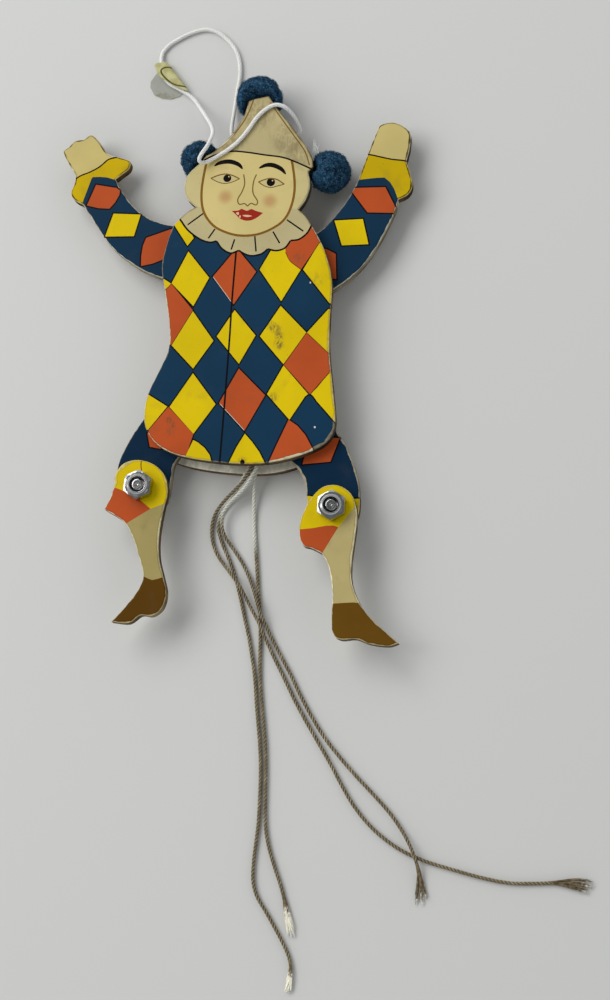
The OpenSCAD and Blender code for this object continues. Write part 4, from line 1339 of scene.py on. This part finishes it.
def make_pompom(node, centre, radius, seed, felt, hat):
    """A ball of felted fibre: a lumpy core, flattened under the hat's edge, with loose fibres on it."""
    chance = random.Random(seed)
    work = bmesh.new()
    bmesh.ops.create_icosphere(work, subdivisions=6, radius=1.0)
    middle = Vector((*centre, radius))
    for v in work.verts:
        way = v.co.normalized()
        lumps = fractal.noise(way * 2.6 + Vector((seed, 0, 0))) * 0.07
        lumps += fractal.noise(way * 9 + Vector((0, seed, 0))) * 0.035
        v.co = middle + way * radius * (0.93 + lumps)
    flat = np.array([(v.co.x, v.co.y) for v in work.verts])
    gap = gap_to(flat, [hat])
    under = inside(flat, hat)
    for v, g, covered in zip(work.verts, gap, under):
        roof = PANEL_UNDERSIDE - 0.25 + (0 if covered else 2.2 * g)
        v.co.z = max(0.05, min(v.co.z, roof))
    work.normal_update()
    points = [tuple(v.co) for v in work.verts]
    faces = [tuple(v.index for v in f.verts) for f in work.faces]
    starts = [(np.array(v.co), np.array(v.normal), g, c) for v, g, c in zip(work.verts, gap, under)]
    work.free()
    for root, normal, g, covered in chance.sample(starts, HAIRS):
        if covered or g < 0.35 or root[2] < 0.5:
            continue
        side = np.cross(normal, (chance.gauss(0, 1), chance.gauss(0, 1), chance.gauss(0, 1)))
        side /= max(1e-6, np.linalg.norm(side))
        lean, length = chance.uniform(0.6, 2.0), chance.uniform(0.3, 0.7)
        curl = np.cross(normal, side) * chance.uniform(-0.5, 0.5)
        line = []
        for t in (k / HAIR_STEPS for k in range(HAIR_STEPS + 1)):
            away = normal * t * (1 - 0.25 * t) + side * lean * t * t + curl * t * t * (1 - t)
            line.append(root - 0.08 * normal + length * away)
        in_floor = min(p[2] for p in line) < 0.06
        tip = line[-1]
        if in_floor or (inside(tip[None, :2], hat)[0] and tip[2] > PANEL_UNDERSIDE - 0.3):
            continue
        faces += ring_faces(len(line), 3, start=len(points))
        points += hair(line, 0.075, 0.03, 3)[0]
    made = make_mesh(node + "_felt", points, faces, [felt], BODY)
    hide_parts(node)


felt = felt_material()
hat_outline = loops_at_top("front_panel")[0][0]
for pompom, (centre, radius, seed) in POMPOMS.items():
    make_pompom(pompom, centre, radius, seed, felt, hat_outline)


def make_thread():
    """The ends of the nylon thread that holds the right-hand pompom."""
    n = Nodes("nylon_thread", (0.72, 0.74, 0.72), 0.25, Specular_IOR_Level=0.5)
    n.between(n.noise(2000, 2), 0.4, 0.6, (0.6, 0.62, 0.6), (0.8, 0.81, 0.79))
    chance = random.Random(21)
    fibres, t = [], np.arange(10) / 9
    for k in range(6):
        x, y = 14.0 + 0.3 * k, 56.2 + chance.uniform(-0.3, 0.3)
        reach, bend = chance.uniform(2.4, 4.6), chance.uniform(-1.4, 1.2)
        line = np.stack([x + bend * t * t - 0.3 * t, y + reach * t, 8.6 + 1.2 * t - 1.0 * t * t], axis=1)
        fibres.append((line, 0.07, 0.05))
    fibre_mesh("pompom_thread", fibres, n.material, BODY)


make_thread()

# ---- tag ---------------------------------------------------------------------

TAG_AT, TAG_TURN = (-24.3, 77.75), 129.4
TAG_HALF = 0.1  # half its thickness
FOLD_R = 0.9  # of the middle of the sheet
FOLD = math.pi * FOLD_R
SLIT = 1e-3  # the width of a cut that only divides the sheet
TAG_OUTLINE = [
    (0.2, FOLD), (-0.4, 4.73), (0.5, 7.13), (2.1, 8.93), (4.5, 10.18), (7, 9.83), (8.4, 8.73),
    (9.3, 6.23), (9.4, FOLD), (9.2, 1.41), (10.2, -0.3), (11, -1.6), (10.9, -2.5), (8.3, -3.2), (6.3, -3),
    (4.4, -2.3), (2, -1.5), (-1.1, 0.42), (-0.8, 1.41),
]
TAG_LINE = [
    (7.4, 1.0), (8.3, -0.3), (8.6, -1.2), (8.4, -1.9), (7.4, -2.25), (5.5, -2.15), (3.6, -1.7),
    (2.2, -1.0), (0.9, 0.1), (0.1, 1.1), (0.5, 2.6), (0.7, 5), (1.7, 7), (3.2, 8.2), (5.2, 8.6), (7, 7.9),
    (8, 6), (8.3, 3.6), (7.9, 2),
]
LINE_HALF = 0.22  # half the width of the line on the tag
GOLD_BLOTCHES = (160, 155, 106), (184, 180, 134)
LINE_BLOTCHES = (66, 62, 26), (92, 86, 46)
INSIDE_BLOTCHES = (154, 155, 148), (128, 124, 108)


def bent(s, w, off):
    """Where a point of the flat tag lies once it is folded, off millimetres out of its middle sheet."""
    if w <= 0:
        t, z, out, up = 1 - w, 1 + FOLD_R, 0, 1
    elif w < FOLD:
        a = math.pi / 2 + w / FOLD_R
        out, up = math.cos(a), math.sin(a)
        t, z = 1 + FOLD_R * out, 1 + FOLD_R * up
    else:
        t, z, out, up = 1 + w - FOLD, 1 - FOLD_R, 0, -1
    crumple = 0.05 * fractal.noise(Vector((s * 0.9, w * 0.9, 3.0)))
    crumple += 0.02 * fractal.noise(Vector((s * 3, w * 3, 1.0)))
    off += crumple if w < FOLD else -abs(crumple)
    t, z = t + off * out, z + off * up
    across, away = math.cos(math.radians(TAG_TURN)), math.sin(math.radians(TAG_TURN))
    return TAG_AT[0] + s * across - t * away, TAG_AT[1] + s * away + t * across, max(0.01, z)


def foil(name, colour, roughness, shine, noise, span, first, second, dents=0.0):
    n = Nodes(name, seen(*colour), roughness, Specular_IOR_Level=shine)
    wrinkles = n.noise(*noise)
    n.between(wrinkles, *span, seen(*first), seen(*second))
    if dents:
        n.bump(wrinkles, 0.06, dents)
    return n.material


def make_tag():
    """A foil sticker folded over the cord. It is cut flat, with s along the fold and w across it, and
    then bent: the upper flap has w below 0, the fold runs to FOLD, and the lower flap is beyond."""
    strips = [FOLD * k / 12 for k in range(13)] + [-0.8, -1.6, -2.4, 4, 5.2, 6.4, 7.6, 8.8]
    cuts = [shape((-3, w), (13, w), (13, w + SLIT), (-3, w + SLIT)) for w in strips]
    cuts += [shape((s, -5), (s + SLIT, -5), (s + SLIT, 12), (s, 12)) for s in (1, 2.5, 4, 5.5, 7, 8.5)]
    line = anticlockwise(closed(TAG_LINE, 4))
    band = [inset(line, -LINE_HALF), inset(line, LINE_HALF)]
    flat, faces, middles = filled([anticlockwise(shape(*TAG_OUTLINE))], (0.12, 0.6), [*cuts, *band])
    lined = inside(middles, band[0]) & ~inside(middles, band[1])
    foils = [
        foil("foil_gold", (172, 167, 118), 0.55, 0.15, (500, 4), (0.35, 0.68), *GOLD_BLOTCHES, 0.6),
        foil("foil_line", (70, 66, 30), 0.6, 0.1, (900, 3), (0.4, 0.7), *LINE_BLOTCHES),
        foil("foil_inside", (152, 153, 146), 0.7, 0.06, (300, 4), (0.5, 0.72), *INSIDE_BLOTCHES),
    ]
    gold, olive, grey = range(len(foils))
    count = len(flat)
    points = [bent(s, w, off) for off in (TAG_HALF, -TAG_HALF) for s, w in flat]
    # s, away and up turn the other way round, so the outer side's faces run backwards
    all_faces, of_face = [], []
    for f, on_line in zip(faces.tolist(), lined):
        all_faces += [tuple(f[::-1]), tuple(i + count for i in f)]
        of_face += [olive if on_line else gold, grey]
    for loop in boundary(faces)[0]:
        all_faces += [(a, b, b + count, a + count) for a, b in zip(loop, loop[1:] + loop[:1])]
        of_face += [gold] * len(loop)
    made = make_mesh("cord_tag_foil", points, all_faces, foils, BODY, of_face)
    dress(made, sharp=40, outward=True)
    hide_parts("cord_tag")


make_tag()

# ---- floor and light; the lengths here are in metres -------------------------

FLOOR_HALF, FLOOR_Z = 3.0, -0.02 * MM
WINDOW_AT, WINDOW_SIZE, WATTS = Vector((-0.80, 0.42, 0.95)), (1.5, 0.8), 14.8
SKY_LOW, SKY_OVERHEAD = 0.9, 0.18  # the sky's strength


def make_floor():
    mesh = bpy.data.meshes.new("floor")
    corners = [(x * FLOOR_HALF, y * FLOOR_HALF, FLOOR_Z) for x, y in ((-1, -1), (1, -1), (1, 1), (-1, 1))]
    mesh.from_pydata(corners, [], [(0, 1, 2, 3)])
    mesh.materials.append(Nodes("floor_pale", (0.62, 0.62, 0.605), 0.9, Specular_IOR_Level=0.1).material)
    placed("floor", mesh)


def make_window():
    """A soft light over the figure's upper left, aimed at the origin."""
    data = bpy.data.lights.new("window", "AREA")
    data.shape = "RECTANGLE"
    data.size, data.size_y = WINDOW_SIZE
    data.energy, data.color = WATTS, (1, 0.99, 0.97)
    light = placed("window", data)
    light.location = WINDOW_AT
    light.rotation_euler = (-WINDOW_AT).to_track_quat("-Z", "Y").to_euler()


def make_sky():
    """A plain sky, darker overhead, so that satin paint seen from above stays deep."""
    world = bpy.data.worlds.new("sky")
    world.use_nodes = True
    tree = world.node_tree
    background = tree.nodes["Background"]
    split = tree.nodes.new("ShaderNodeSeparateXYZ")
    tree.links.new(tree.nodes.new("ShaderNodeTexCoord").outputs["Generated"], split.inputs[0])
    fade = tree.nodes.new("ShaderNodeMapRange")
    fade.interpolation_type = "SMOOTHSTEP"
    tree.links.new(split.outputs["Z"], fade.inputs[0])
    for socket, value in zip(fade.inputs[1:5], (0.45, 0.85, SKY_LOW, SKY_OVERHEAD)):
        socket.default_value = value
    tree.links.new(fade.outputs[0], background.inputs["Strength"])
    background.inputs["Color"].default_value = (0.95, 0.98, 1.0, 1)
    bpy.context.scene.world = world


make_floor()
make_window()
make_sky()
# the painted colours are far from grey, and this transform shows them as they are
bpy.context.scene.view_settings.view_transform = "Standard"
